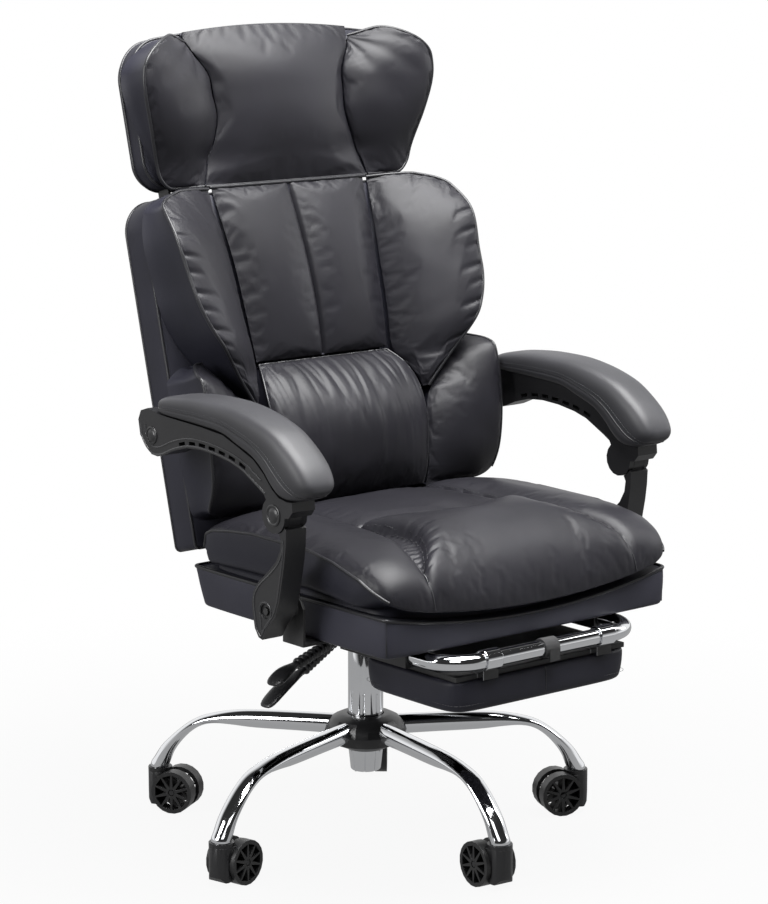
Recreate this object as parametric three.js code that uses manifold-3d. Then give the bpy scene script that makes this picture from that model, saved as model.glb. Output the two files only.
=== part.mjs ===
// A reclining office chair with a pull-out footrest, in millimetres. The floor is z = 0, the sitter
// faces -Y, and the origin lies on the floor under the middle of the whole chair.
import * as THREE from "three";
import { mergeVertices } from "three/addons/utils/BufferGeometryUtils.js";
import Module from "manifold-3d";

const wasm = await Module();
wasm.setup();

// Driving dimensions
const gap = 0.3; // between pieces that touch
const overrun = 5; // how far a cutting body passes the piece that it cuts
const swivelBehindMiddle = 51.7; // the swivel axis stands this far behind the origin
const backLeanDegrees = 14.4; // of the upright backrest, from the vertical
const sheet = 4; // thickness of the steel brackets
const pinRadius = 5;
const pinPlay = 0.4; // running clearance round a pin, on the radius
const roundFacets = 20; // of the larger round bars and holes
const smallFacets = 8; // of the pins and their holes

const caster = {
  count: 5,
  firstDegrees: 40.7, // compass angle of the first leg, from +Y towards +X
  circleRadius: 319, // of the stems, about the swivel axis
  trail: 27,
  wheelRadius: 31,
  wheelWidth: 18,
  webWidth: 12,
  collarRadius: 17.5,
  collarHeight: 6,
  top: 63.4,
  stemRadius: 5.5,
  stemLength: 16,
  axleRadius: 4,
  shieldFront: 17,
  shieldBottom: 9,
  wheelClearance: 1.2,
};
const wheel = { facetCount: 20, spokeCount: 10, rimWall: 5, spokeWidth: 2.4, hubRadius: 8 };

const leg = {
  tipMargin: 14, // from the stem's axis to the outer face of the tip
  top: 167.5, // of the tube where it meets the hub
  width: 29,
  depth: 29,
  skin: 3.2,
  socketTopRadius: 6.6,
  socketBottomRadius: 9.5,
  tipBottom: 64,
};
// Each row places one section on the leg's top line: reach, height, depth and width as shares of the leg's.
const legSectionShares = [
  [0.085, 1, 1, 0.96],
  [0.51, 0.963, 0.9, 0.97],
  [0.62, 0.938, 0.72, 1],
  [0.71, 0.896, 0.5, 1],
  [0.775, 0.85, 0.45, 1],
  [0.835, 0.775, 0.46, 1],
  [0.895, 0.674, 0.55, 1],
  [0.945, 0.573, 0.7, 1],
  [0.98, 0.468, 0.84, 1],
  [0.996, 0.42, 0.88, 1],
  [1, 0.382, 0.88, 1],
];
const legChannelStart = 3; // the first section whose underside is open
leg.reach = caster.circleRadius + leg.tipMargin; // from the swivel axis

const column = {
  radius: 25,
  bottomRadius: 21.5,
  bottom: 90.5,
  taperTop: 125,
  fluteTop: 206,
  fluteFade: 6,
  top: 300,
  fluteCount: 8,
  fluteDepth: 1.3,
  fluteHalfDegrees: 2.6,
  boreFloor: 108,
};
const hub = { wall: 5.4, bottom: 128, top: 165 };
const cover = { bore: 26.4, radius: 58.5, bottom: 122.5, top: 173 };
const piston = { radius: 14, bottom: 116, top: 344 };

const mechanism = {
  bottom: 316,
  bottomWidth: 96,
  bottomLength: 124,
  topWidth: 150,
  topLength: 200,
  socketRadius: 21,
  socketBottom: 303,
  flange: 5,
};

const seat = {
  halfWidth: 250,
  front: -348,
  rear: 70,
  undercut: 18, // the box's rear face leans in towards its foot
  boxBottom: 358,
  boxTop: 410.5,
  boxDip: 22, // how far the box's top edge sags at the middle of the front
  boardThickness: 12,
  boardInset: 16,
  cushionHalfWidth: 259,
  cushionRear: 54,
  cushionFront: -362,
  cushionTop: 481,
  cushionFootGap: 1.2, // over the box, so that facets that don't match stay clear
  pipingTop: 481, // of the side faces
  rollRise: 14,
  rollHalfWidth: 190,
  crown: 12,
  sideDrawIn: 5,
  seamDepth: 7,
};

// The side faces' upper edge: its place from rear to front, and its rise over the box, as shares.
const pipingShares = [
  [0, 0.4],
  [0.034, 0.7],
  [0.1, 0.85],
  [0.19, 0.93],
  [0.32, 1],
  [0.61, 0.98],
  [0.73, 0.87],
  [0.86, 0.67],
  [0.95, 0.4],
  [1, 0.2],
];

// The post, the armrest, the backrest and the seat form a parallelogram, seen from the side as (y, z).
const armPivot = { frontY: -211, frontZ: 536, lowY: -190, lowZ: 405, rearY: 57, rearZ: 603 };
const reclineY = armPivot.rearY - (armPivot.frontY - armPivot.lowY);
const reclineZ = armPivot.rearZ - (armPivot.frontZ - armPivot.lowZ);

const arm = {
  middle: 305.5, // of the frame, from the chair's middle plane
  frameWidth: 37,
  postWidth: 33,
  tongueWidth: 19,
  padMiddle: 300.5,
  padWidth: 64,
  windowCount: 7,
  windowLength: 14,
  windowHeight: 5,
  windowAbove: 4, // the rib left under a window
  discRadius: 24,
};
// The frame's outline, as shares of its length (from the rear end forward) and height (from its lowest point).
const frameHeight = 130;
const frameRearY = 88;
const frameLowZ = 512;
const frontPivotShare = 0.87941;
const frameLength = (frameRearY - armPivot.frontY) / frontPivotShare;
const discDegrees = { first: 180, last: 410 }; // where the frame's lower edge follows its disc
const frameTopShares = [
  [0, 0.838],
  [0.018, 0.938],
  [0.065, 0.977],
  [0.106, 0.952],
  [0.156, 0.936],
  [0.206, 0.928],
  [0.288, 0.921],
  [0.415, 0.905],
  [0.562, 0.875],
  [0.659, 0.79],
  [0.756, 0.698],
  [0.818, 0.582],
  [0.871, 0.444],
  [0.912, 0.375],
  [0.965, 0.352],
  [0.994, 0.358],
  [0.997, 0.262],
  [0.974, 0.192],
];
const frameArchShares = [
  [0.824, 0.369],
  [0.788, 0.423],
  [0.741, 0.485],
  [0.682, 0.562],
  [0.609, 0.615],
  [0.512, 0.654],
  [0.415, 0.669],
  [0.326, 0.654],
  [0.238, 0.592],
  [0.174, 0.523],
  [0.129, 0.492],
  [0.088, 0.5],
  [0.012, 0.677],
];
// The pad's sections from rear to front, as shares of the frame's length and height: the place of the
// section's lower edge, the place of its upper edge, and its width as a share of the pad's.
const padSectionShares = [
  [0.109, 0.985, 0.109, 1.023, 0.28],
  [0.124, 0.954, 0.124, 1.073, 0.6],
  [0.156, 0.938, 0.156, 1.115, 0.84],
  [0.212, 0.931, 0.212, 1.15, 0.98],
  [0.288, 0.923, 0.291, 1.177, 1],
  [0.415, 0.908, 0.418, 1.2, 1],
  [0.562, 0.877, 0.576, 1.196, 1],
  [0.659, 0.792, 0.691, 1.162, 1],
  [0.756, 0.7, 0.8, 1.1, 1],
  [0.818, 0.585, 0.9, 1.008, 1],
  [0.871, 0.446, 0.994, 0.854, 1],
  [0.912, 0.377, 1.053, 0.715, 0.97],
  [0.965, 0.354, 1.088, 0.577, 0.85],
  [1.018, 0.369, 1.094, 0.492, 0.6],
  [1.059, 0.408, 1.085, 0.446, 0.28],
];
// The post's outline, as shares of the height between its pivots: across (rearwards) and up from the lower one.
const postOutlineShares = [
  [-0.221, 0.84],
  [-0.26, 0.771],
  [-0.244, 0.656],
  [-0.176, 0.534],
  [-0.046, 0.412],
  [0.115, 0.282],
  [0.198, 0.168],
  [0.221, 0.061],
  [0.206, -0.053],
  [0.176, -0.198],
  [0.115, -0.282],
  [0.053, -0.298],
  [-0.038, -0.16],
  [-0.153, -0.038],
  [-0.221, 0.122],
  [-0.26, 0.29],
  [-0.313, 0.55],
  [-0.336, 0.718],
  [-0.344, 0.878],
  [-0.221, 0.95],
];
const armBracket = { footInner: 210, plate: 273, halfLength: 22, bossRadius: 12 };

// The backrest's own frame: x across, y rearwards, z up along the leaning back. Its origin is the rear
// face's lower edge.
const back = {
  originY: 100,
  originZ: 425,
  halfWidth: 256,
  height: 486,
  cushionHalfWidth: 253,
  thickness: 50,
  rearEdge: 5,
  rearCrown: 7, // of the rear face, beyond the shell's thickness
  topCorner: 46,
  bottomCorner: 8,
  footRelief: 48, // the shell's foot is cut back in front, to clear the seat when it leans
  footDepth: 12,
  headBottom: 497,
  headTop: 700,
  headArch: 19,
  headHalfWidth: 238,
  headThickness: 46,
  headTopCorner: 50,
  headBottomCorner: 40,
  headRearEdge: 20,
};
const reclinePlate = { middle: 200, halfWidth: 11, eyeRadius: 12, slotHalfWidth: 10 };
const upright = { width: 24, front: -44, top: 640 };

const cushionLift = gap + 0.1; // a cushion's base stands this far off the shell
const panel = { bottom: 241, top: 484, crown: 13, groove: 9 };
const lumbar = { bottom: 40, top: 238.5, crown: 22 };
const wing = { bottom: 178, top: 484, topDrop: 19, bulge: 15 };
const bolster = { bottom: 37, top: 247, bulge: 12 };
const headPad = { bottom: 498, top: 694, arch: 18, crown: 17 };
const headWing = { bottom: 498, footRise: 10, peak: 9, topDrop: 22, bulge: 14 };
const pieceGap = 1.6; // between neighbouring cushions

// Edges of the back's cushions. Each row holds the height, the half width and the depth in front of the
// rear face, as shares of the back's height, half width and wing depth.
const wingDepth = 147;
const panelEdgeShares = [
  [0.49, 0.47, 0.463],
  [0.638, 0.49, 0.463],
  [0.8, 0.506, 0.43],
  [1, 0.54, 0.345],
];
const lumbarEdgeShares = [
  [0.074, 0.474, 0.645],
  [0.144, 0.506, 0.715],
  [0.267, 0.534, 0.76],
  [0.37, 0.54, 0.71],
  [0.442, 0.51, 0.61],
  [0.49, 0.462, 0.47],
];
const wingInnerShares = [
  [0.36, 0.585, 0.66],
  [0.4, 0.56, 0.64],
  [0.442, 0.535, 0.57],
  [0.494, 0.49, 0.47],
  [0.638, 0.505, 0.465],
  [0.8, 0.52, 0.435],
  [1, 0.555, 0.352],
];
const wingOuterShares = [
  [0.36, 0.61, 0.68],
  [0.383, 0.636, 0.714],
  [0.457, 0.755, 0.83],
  [0.541, 0.885, 0.986],
  [0.599, 0.953, 1],
  [0.669, 1, 0.98],
  [0.749, 1.02, 0.939],
  [0.872, 1.043, 0.878],
  [0.963, 1.008, 0.667],
  [1, 0.95, 0.58],
];
const bolsterInnerShares = [
  [0.06, 0.5, 0.6],
  [0.144, 0.53, 0.66],
  [0.267, 0.558, 0.68],
  [0.34, 0.605, 0.66],
  [0.377, 0.66, 0.66],
  [0.45, 0.78, 0.64],
  [0.51, 0.872, 0.58],
];
const bolsterOuterShares = [
  [0.06, 0.97, 0.5],
  [0.103, 1.01, 0.64],
  [0.173, 1.02, 0.79],
  [0.292, 1.035, 0.884],
  [0.436, 1.035, 0.925],
  [0.477, 1.03, 0.84],
  [0.51, 0.985, 0.62],
];
const headSeamShares = [
  [1.01, 0.58, 0.345],
  [1.09, 0.53, 0.34],
  [1.15, 0.484, 0.39],
  [1.215, 0.452, 0.42],
  [1.275, 0.46, 0.428],
  [1.337, 0.472, 0.435],
  [1.4, 0.54, 0.41],
  [1.45, 0.58, 0.36],
];
const headOuterShares = [
  [1.01, 0.86, 0.345],
  [1.09, 0.895, 0.4],
  [1.193, 0.96, 0.565],
  [1.275, 1.004, 0.667],
  [1.337, 1.008, 0.714],
  [1.4, 0.968, 0.748],
  [1.45, 0.88, 0.74],
];

const footrest = {
  tubeRadius: 11,
  barY: -379,
  tubeZ: 343,
  halfSpread: 168,
  bendRadius: 50,
  tubeRear: 26,
  guideFront: -306,
  guideRear: -170,
  guideHalfWidth: 14,
  padHalfWidth: 156,
  padFront: -376,
  padRear: -180,
  padTop: 317,
  padBottom: 271,
  sagDepth: 4,
  boardThickness: 7,
  clipHalfWidth: 13,
  clipThickness: 3,
  clipOffset: 101,
  strapHalfWidth: 20,
  strapReach: 15,
  strapThickness: 2,
};

const lever = {
  rodRadius: 4,
  sleeveRadius: 8.5,
  ribDepth: 2.2,
  ribCount: 5,
  paddleWidth: 27,
  paddleThickness: 6.5,
  paddleLength: 66,
};
// Where each lever leaves the mechanism, where its sleeve ends and where its paddle ends.
const leverRoutes = {
  height_lever: { root: [-49.8, -58, 326], knee: [-214, -115, 301], tip: [-268, -134, 286] },
  recline_lever: { root: [-49.8, -40, 322], knee: [-171, -75, 278], tip: [-246, -87, 242] },
};

// Helpers

const { degToRad } = THREE.MathUtils;
const mix = THREE.MathUtils.lerp;
const at = (x, y, z) => new THREE.Vector3(x, y, z);
const turn = 2 * Math.PI;
const sides = { left: 1, right: -1 }; // the sitter's left is +X

const colours = {
  leather: { color: 0x1d1d20, roughness: 0.45, metalness: 0 },
  border: { color: 0x26262c, roughness: 0.5, metalness: 0 },
  chrome: { color: 0xd8dadd, roughness: 0.08, metalness: 1 },
  plastic: { color: 0x141416, roughness: 0.5, metalness: 0 },
  steel: { color: 0x1a1a1c, roughness: 0.55, metalness: 0.6 },
  wood: { color: 0x9a7b55, roughness: 0.7, metalness: 0 },
};

function mesh(name, geometry, finish) {
  const made = new THREE.Mesh(geometry, new THREE.MeshStandardMaterial(colours[finish]));
  made.name = name;
  return made;
}

// A closed surface from points and triangles, turned so that its faces point out.
function closed(points, faces) {
  const volume = faces.reduce((sum, [a, b, c]) => {
    const crossed = points[b].clone().cross(points[c]);
    return sum + points[a].dot(crossed);
  }, 0);
  const index = faces.flatMap(([a, b, c]) => (volume < 0 ? [a, c, b] : [a, b, c]));
  const geometry = new THREE.BufferGeometry().setFromPoints(points);
  geometry.setIndex(index);
  return geometry;
}

// A skin over rings of points, one after the other, with both ends closed by a fan.
function loft(rings) {
  const count = rings[0].length;
  const points = rings.flat();
  const faces = [];
  for (let r = 0; r + 1 < rings.length; r++) {
    for (let i = 0; i < count; i++) {
      const a = r * count + i;
      const b = r * count + ((i + 1) % count);
      faces.push([a, b, b + count], [a, b + count, a + count]);
    }
  }
  for (const [start, forward] of [
    [0, false],
    [(rings.length - 1) * count, true],
  ]) {
    const middle = at(0, 0, 0);
    for (let i = 0; i < count; i++) middle.add(points[start + i]);
    points.push(middle.divideScalar(count));
    for (let i = 0; i < count; i++) {
      const pair = [start + i, start + ((i + 1) % count)];
      faces.push(forward ? [...pair, points.length - 1] : [pair[1], pair[0], points.length - 1]);
    }
  }
  return closed(points, faces);
}

// A loft along stations { at, section }, where a section lists [across, up] offsets, square to the route.
function sweep(stations, up) {
  return loft(
    stations.map((station, i) => {
      const before = stations[Math.max(i - 1, 0)].at;
      const after = stations[Math.min(i + 1, stations.length - 1)].at;
      const along = after.clone().sub(before).normalize();
      const across = along.clone().cross(up).normalize();
      const lift = across.clone().cross(along);
      return station.section.map(([a, b]) =>
        station.at.clone().addScaledVector(across, a).addScaledVector(lift, b),
      );
    }),
  );
}

// A sewn cushion: a front and a back sheet over u and v from 0 to 1, joined by a wall whose middle is
// drawn in.
function cushion({ front, back: rear, columns, rows, drawIn }) {
  const points = [];
  const faces = [];
  const sheetOf = (shape) => {
    const first = points.length;
    for (let j = 0; j <= rows; j++) {
      for (let i = 0; i <= columns; i++) points.push(shape(i / columns, j / rows));
    }
    return (i, j) => first + j * (columns + 1) + i;
  };
  const f = sheetOf(front);
  const b = sheetOf(rear);
  for (let j = 0; j < rows; j++) {
    for (let i = 0; i < columns; i++) {
      faces.push([f(i, j), f(i + 1, j), f(i + 1, j + 1)], [f(i, j), f(i + 1, j + 1), f(i, j + 1)]);
      faces.push([b(i, j), b(i + 1, j + 1), b(i + 1, j)], [b(i, j), b(i, j + 1), b(i + 1, j + 1)]);
    }
  }
  const rim = [];
  for (let i = 0; i < columns; i++) rim.push([i, 0]);
  for (let j = 0; j < rows; j++) rim.push([columns, j]);
  for (let i = columns; i > 0; i--) rim.push([i, rows]);
  for (let j = rows; j > 0; j--) rim.push([0, j]);
  const heart = at(0, 0, 0);
  for (const [i, j] of rim) heart.add(points[f(i, j)]).add(points[b(i, j)]);
  heart.divideScalar(2 * rim.length);
  const waist = rim.map(([i, j]) => {
    const middle = points[f(i, j)].clone().lerp(points[b(i, j)], 1 / 2);
    const inward = heart.clone().sub(middle).setLength(drawIn);
    points.push(middle.add(inward));
    return points.length - 1;
  });
  rim.forEach(([i, j], k) => {
    const [p, q] = rim[(k + 1) % rim.length];
    const [w, x] = [waist[k], waist[(k + 1) % rim.length]];
    faces.push([f(p, q), f(i, j), w], [f(p, q), w, x]);
    faces.push([x, w, b(i, j)], [x, b(i, j), b(p, q)]);
  });
  return closed(points, faces);
}

// The value of a table at a height: rows start with their height, and straight lines join the rest.
function along(rows, height, item) {
  const last = rows.length - 1;
  if (height <= rows[0][0]) return rows[0][item];
  if (height >= rows[last][0]) return rows[last][item];
  const k = rows.findIndex((row) => row[0] > height) - 1;
  const share = (height - rows[k][0]) / (rows[k + 1][0] - rows[k][0]);
  return mix(rows[k][item], rows[k + 1][item], share);
}

function solid(geometry) {
  const bare = new THREE.BufferGeometry();
  bare.setAttribute("position", geometry.getAttribute("position"));
  bare.setIndex(geometry.index);
  const merged = mergeVertices(bare);
  return new wasm.Manifold(
    new wasm.Mesh({
      numProp: 3,
      vertProperties: merged.attributes.position.array,
      triVerts: new Uint32Array(merged.index.array),
    }),
  );
}

function geometryOf(made) {
  const { vertProperties, triVerts } = made.getMesh();
  const geometry = new THREE.BufferGeometry();
  geometry.setAttribute("position", new THREE.BufferAttribute(vertProperties, 3));
  geometry.setIndex(new THREE.BufferAttribute(triVerts, 1));
  return geometry;
}

const joined = (first, ...others) =>
  geometryOf(others.reduce((sum, other) => sum.add(solid(other)), solid(first)));
const cut = (first, ...others) =>
  geometryOf(others.reduce((sum, other) => sum.subtract(solid(other)), solid(first)));
const common = (first, second) => geometryOf(solid(first).intersect(solid(second)));

// A box between two corners.
function block([x0, y0, z0], [x1, y1, z1]) {
  const made = new THREE.BoxGeometry(x1 - x0, y1 - y0, z1 - z0);
  return made.translate((x0 + x1) / 2, (y0 + y1) / 2, (z0 + z1) / 2);
}

// A round bar along one axis ("x", "y" or "z"), from one end to the other.
function bar(axis, radius, from, to, [x, y, z], facets = 16) {
  const made = new THREE.CylinderGeometry(radius, radius, Math.abs(to - from), facets);
  if (axis === "x") made.rotateZ(Math.PI / 2);
  if (axis === "z") made.rotateX(Math.PI / 2);
  const middle = (from + to) / 2;
  return made.translate(
    axis === "x" ? middle : x,
    axis === "y" ? middle : y,
    axis === "z" ? middle : z,
  );
}

// A hole for a round pin, whose flats stay clear of the pin's corners however it turns.
const pinHole = (axis, radius, from, to, place) =>
  bar(axis, (radius + pinPlay) / Math.cos(Math.PI / smallFacets), from, to, place, smallFacets);

// An outline in (y, z), extruded along x.
function sidePrism(outline, x0, x1) {
  const shape = new THREE.Shape(outline.map(([y, z]) => new THREE.Vector2(y, z)));
  const made = new THREE.ExtrudeGeometry(shape, { depth: Math.abs(x1 - x0), bevelEnabled: false });
  made.applyMatrix4(new THREE.Matrix4().makeBasis(at(0, 1, 0), at(0, 0, 1), at(1, 0, 0)));
  return made.translate(Math.min(x0, x1), 0, 0);
}

// A profile of [radius, height] points turned about the z axis.
function turned(profile, facets) {
  const points = profile.map(([r, z]) => new THREE.Vector2(r, z));
  return new THREE.LatheGeometry(points, facets).rotateX(Math.PI / 2);
}

// A rounded section of a tube, flattened to a width and a depth, hung below the route.
function ovalSection(width, depth, facets) {
  return Array.from({ length: facets }, (_, i) => {
    const angle = (turn * i) / facets;
    return [(Math.cos(angle) * width) / 2, ((Math.sin(angle) - 1) * depth) / 2];
  });
}

// Base: hub, five legs, cover and the outer column of the gas lift

const legDegrees = (k) => caster.firstDegrees + (360 / caster.count) * k;

// Stations of the leg that lies along +Y, with a section for each row of the table.
function legStations(sectionOf, first = 0) {
  return legSectionShares.slice(first).map(([reach, height, depth, width]) => ({
    at: at(0, reach * leg.reach, height * leg.top),
    section: sectionOf(width * leg.width, depth * leg.depth),
  }));
}

// The leg's outer skin, grown by some room on every side.
function legTube(room = 0) {
  const section = (width, depth) =>
    ovalSection(width + 2 * room, depth + 2 * room, 10).map(([x, y]) => [x, y + room]);
  return sweep(legStations(section), at(0, 0, 1));
}

function legAlongY() {
  const tube = legTube();
  const inside = legStations((width, depth) => {
    const half = width / 2 - leg.skin;
    return [
      [half, -leg.skin],
      [-half, -leg.skin],
      [-half, -depth - overrun],
      [half, -depth - overrun],
    ];
  }, legChannelStart);
  const end = inside[inside.length - 1];
  inside.push({ at: at(0, end.at.y, end.at.z - overrun), section: end.section });
  const channel = sweep(inside, at(0, 0, 1));
  const stemY = caster.circleRadius;
  const bevelled = sidePrism(
    [
      [leg.reach - leg.depth - overrun, leg.tipBottom - overrun],
      [stemY + leg.socketTopRadius, leg.tipBottom - overrun],
      [leg.reach - leg.depth - overrun, leg.tipBottom + leg.depth],
    ],
    -leg.width,
    leg.width,
  );
  const socketTop = leg.tipBottom + leg.depth;
  const socket = turned(
    [
      [0, leg.tipBottom],
      [leg.socketBottomRadius, leg.tipBottom],
      [leg.socketTopRadius, socketTop],
      [0, socketTop],
    ],
    10,
  ).translate(0, stemY, 0);
  const stemHole = pinHole(
    "z",
    caster.stemRadius,
    leg.tipBottom - overrun,
    caster.top + caster.stemLength + gap,
    [0, stemY, 0],
  );
  const hubRoom = bar("z", hub.radius + gap, 0, leg.top + overrun, [0, 0, 0], roundFacets);
  const below = block([-leg.width, 0, 0], [leg.width, leg.reach + leg.depth, leg.tipBottom]);
  const shell = cut(tube, channel, bevelled);
  return cut(joined(shell, common(socket, tube)), stemHole, hubRoom, below);
}

hub.radius = column.radius + gap + hub.wall;

function hubRing() {
  const bore = (column.radius + gap) / Math.cos(Math.PI / roundFacets);
  return turned(
    [
      [bore, hub.bottom],
      [hub.radius, hub.bottom],
      [hub.radius, hub.top],
      [bore, hub.top],
      [bore, hub.bottom],
    ],
    roundFacets,
  );
}

// The cover's outer curve from the bottom up, as shares of its radius and of its height.
const coverCurveShares = [
  [0.48, 0],
  [0.56, 0.05],
  [0.86, 0.2],
  [1, 0.5],
  [0.95, 0.7],
  [0.82, 0.88],
  [0.62, 0.99],
  [0.5, 1],
];

function hubCover() {
  const height = cover.top - cover.bottom;
  const curve = coverCurveShares.map(([r, z]) => [r * cover.radius, cover.bottom + z * height]);
  const body = turned(
    [[cover.bore, cover.bottom], ...curve, [cover.bore, cover.top], [cover.bore, cover.bottom]],
    roundFacets,
  );
  const [low, high] = [hub.bottom - gap, hub.top + gap];
  const ringRoom = bar("z", hub.radius + gap, low, high, [0, 0, 0], roundFacets);
  const rooms = Array.from({ length: caster.count }, (_, k) =>
    legTube(gap).rotateZ(-degToRad(legDegrees(k))),
  );
  return cut(body, ringRoom, ...rooms);
}

// A ring of the column: round, or with narrow flutes of the given depth.
function columnRing(radius, z, fluteDepth) {
  const halves = [-1, 0, 1].map((side) => side * degToRad(column.fluteHalfDegrees));
  const ring = [];
  for (let k = 0; k < column.fluteCount; k++) {
    const start = (turn * k) / column.fluteCount;
    for (const half of halves) {
      const r = half === 0 ? radius - fluteDepth : radius;
      ring.push(at(r * Math.cos(start + half), r * Math.sin(start + half), z));
    }
    const rest = start + turn / column.fluteCount / 2;
    ring.push(at(radius * Math.cos(rest), radius * Math.sin(rest), z));
  }
  return ring;
}

function liftColumn() {
  const bore = piston.radius + pinPlay + gap;
  return loft([
    columnRing(column.bottomRadius, column.bottom, column.fluteDepth),
    columnRing(column.radius, column.taperTop, column.fluteDepth),
    columnRing(column.radius, column.fluteTop, column.fluteDepth),
    columnRing(column.radius, column.fluteTop + column.fluteFade, 0),
    columnRing(column.radius, column.top, 0),
    columnRing(bore, column.top, 0),
    columnRing(bore, column.boreFloor, 0),
  ]);
}

// Casters, made with their stem on the z axis and trailing along +Y

function casterFork() {
  const axleY = caster.trail;
  const axleZ = caster.wheelRadius;
  const shoulder = caster.top - caster.collarHeight;
  const outline = [
    [-caster.shieldFront, shoulder],
    [-caster.shieldFront, axleZ],
    [-caster.shieldFront * 0.85, axleZ / 2],
    [-caster.shieldFront / 2, caster.shieldBottom],
    [axleY / 3, caster.shieldBottom + caster.wheelClearance],
    [axleY, axleZ / 2],
    [axleY + 2 * caster.axleRadius, axleZ - caster.axleRadius],
    [axleY + 2 * caster.axleRadius, axleZ + caster.axleRadius],
    [caster.collarRadius, shoulder],
  ];
  const half = caster.collarRadius;
  const plank = sidePrism(outline, -half, half);
  const rounded = new THREE.Shape();
  rounded.absarc(0, 0, half, Math.PI, turn, false);
  rounded.lineTo(half, axleY + half);
  rounded.lineTo(-half, axleY + half);
  const plan = new THREE.ExtrudeGeometry(rounded, {
    depth: caster.top,
    bevelEnabled: false,
    curveSegments: 5,
  });
  const room = (side) =>
    bar(
      "x",
      caster.wheelRadius + caster.wheelClearance,
      side * (caster.webWidth / 2),
      side * (half + overrun),
      [0, axleY, axleZ],
      roundFacets,
    );
  const collar = bar("z", half, shoulder, caster.top, [0, 0, 0], 14);
  const web = cut(joined(common(plank, plan), collar), room(1), room(-1));
  const stemTop = caster.top + caster.stemLength;
  const stem = bar("z", caster.stemRadius, shoulder, stemTop, [0, 0, 0], smallFacets);
  const axleEnd = caster.webWidth / 2 + caster.wheelWidth - gap;
  const axle = bar("x", caster.axleRadius, -axleEnd, axleEnd, [0, axleY, axleZ], smallFacets);
  return joined(web, stem, axle);
}

// A wheel with a flat facet on the floor, thin spokes and open windows between them.
function casterWheel(side) {
  const circle = (radius, count, start) =>
    Array.from({ length: count }, (_, i) => {
      const angle = start + (turn * i) / count;
      return new THREE.Vector2(radius * Math.cos(angle), radius * Math.sin(angle));
    });
  const halfFacet = turn / wheel.facetCount / 2;
  const corner = caster.wheelRadius / Math.cos(halfFacet);
  const shape = new THREE.Shape(circle(corner, wheel.facetCount, halfFacet));
  shape.holes.push(new THREE.Path(circle(caster.axleRadius + 3 * pinPlay, 6, 0)));
  const inner = caster.wheelRadius - wheel.rimWall;
  const halfStep = turn / wheel.spokeCount / 2;
  const halfWindow = halfStep - wheel.spokeWidth / 2 / inner;
  for (let k = 0; k < wheel.spokeCount; k++) {
    const middle = turn * (k / wheel.spokeCount);
    const corners = [
      [wheel.hubRadius, middle],
      [inner, middle - halfWindow],
      [inner, middle + halfWindow],
    ];
    const points = corners.map(
      ([r, angle]) => new THREE.Vector2(r * Math.cos(angle), r * Math.sin(angle)),
    );
    shape.holes.push(new THREE.Path(points));
  }
  const made = new THREE.ExtrudeGeometry(shape, { depth: caster.wheelWidth, bevelEnabled: false });
  made.applyMatrix4(new THREE.Matrix4().makeBasis(at(0, 1, 0), at(0, 0, 1), at(1, 0, 0)));
  const inside = caster.webWidth / 2 + gap;
  const start = side > 0 ? inside : -inside - caster.wheelWidth;
  return made.translate(start, caster.trail, caster.wheelRadius);
}

function castersInPlace() {
  const fork = casterFork();
  const wheels = { a: casterWheel(1), b: casterWheel(-1) };
  return Array.from({ length: caster.count }, (_, k) => {
    const compass = degToRad(legDegrees(k));
    const group = new THREE.Group();
    group.add(mesh(`caster_fork_${k + 1}`, fork.clone(), "plastic"));
    for (const [letter, geometry] of Object.entries(wheels)) {
      group.add(mesh(`caster_wheel_${k + 1}${letter}`, geometry.clone(), "plastic"));
    }
    const reach = caster.circleRadius;
    group.position.set(reach * Math.sin(compass), reach * Math.cos(compass), 0);
    group.rotation.z = Math.PI - compass; // the wheels trail towards the column
    return group;
  });
}

// Seat: mechanism, board, boxed border, cushion and brackets

function tiltMechanism() {
  const rectangle = (width, length, z) =>
    [
      [-1, -1],
      [1, -1],
      [1, 1],
      [-1, 1],
    ].map(([x, y]) => at((x * width) / 2, (y * length) / 2, z));
  const top = seat.boxBottom - gap;
  const pan = loft([
    rectangle(mechanism.bottomWidth, mechanism.bottomLength, mechanism.bottom),
    rectangle(mechanism.bottomWidth, mechanism.topLength, top - mechanism.flange),
    rectangle(mechanism.topWidth, mechanism.topLength, top - mechanism.flange),
    rectangle(mechanism.topWidth, mechanism.topLength, top),
  ]);
  const socketTop = mechanism.bottom + overrun;
  const { socketRadius, socketBottom } = mechanism;
  const socket = bar("z", socketRadius, socketBottom, socketTop, [0, 0, 0], roundFacets);
  const room = bar(
    "z",
    piston.radius + gap,
    socketBottom - overrun,
    piston.top + gap,
    [0, 0, 0],
    16,
  );
  return cut(joined(pan, socket), room);
}

const boardHalf = seat.halfWidth - seat.boardInset;
const boardRear = seat.rear - seat.undercut - seat.boardInset;

function boardCorners(room) {
  return [
    [-boardHalf - room, seat.front + seat.boardInset - room, seat.boxBottom - (room ? overrun : 0)],
    [boardHalf + room, boardRear + room, seat.boxBottom + seat.boardThickness + room],
  ];
}

// Across the seat the outline is a rectangle with rounded corners: u and v run from 0 to 1.
function seatPoint(u, v, halfWidth, front, rear, roundingShare) {
  const a = 2 * u - 1;
  const b = 2 * v - 1;
  const x = a * halfWidth * Math.sqrt(1 - roundingShare * b ** 4 * Math.abs(a));
  const halfLength = (rear - front) / 2;
  const y = (front + rear) / 2 + b * halfLength * Math.sqrt(1 - roundingShare * a ** 4 * Math.abs(b));
  return [x, y];
}

// The box's top edge sags towards the middle of the front.
function boxTopAt(x, y) {
  const across = Math.max(0, 1 - (x / seat.halfWidth) ** 2);
  const share = THREE.MathUtils.clamp((y - seat.rear) / (seat.front - seat.rear), 0, 1);
  return seat.boxTop - seat.boxDip * across * share ** 3;
}

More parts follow.
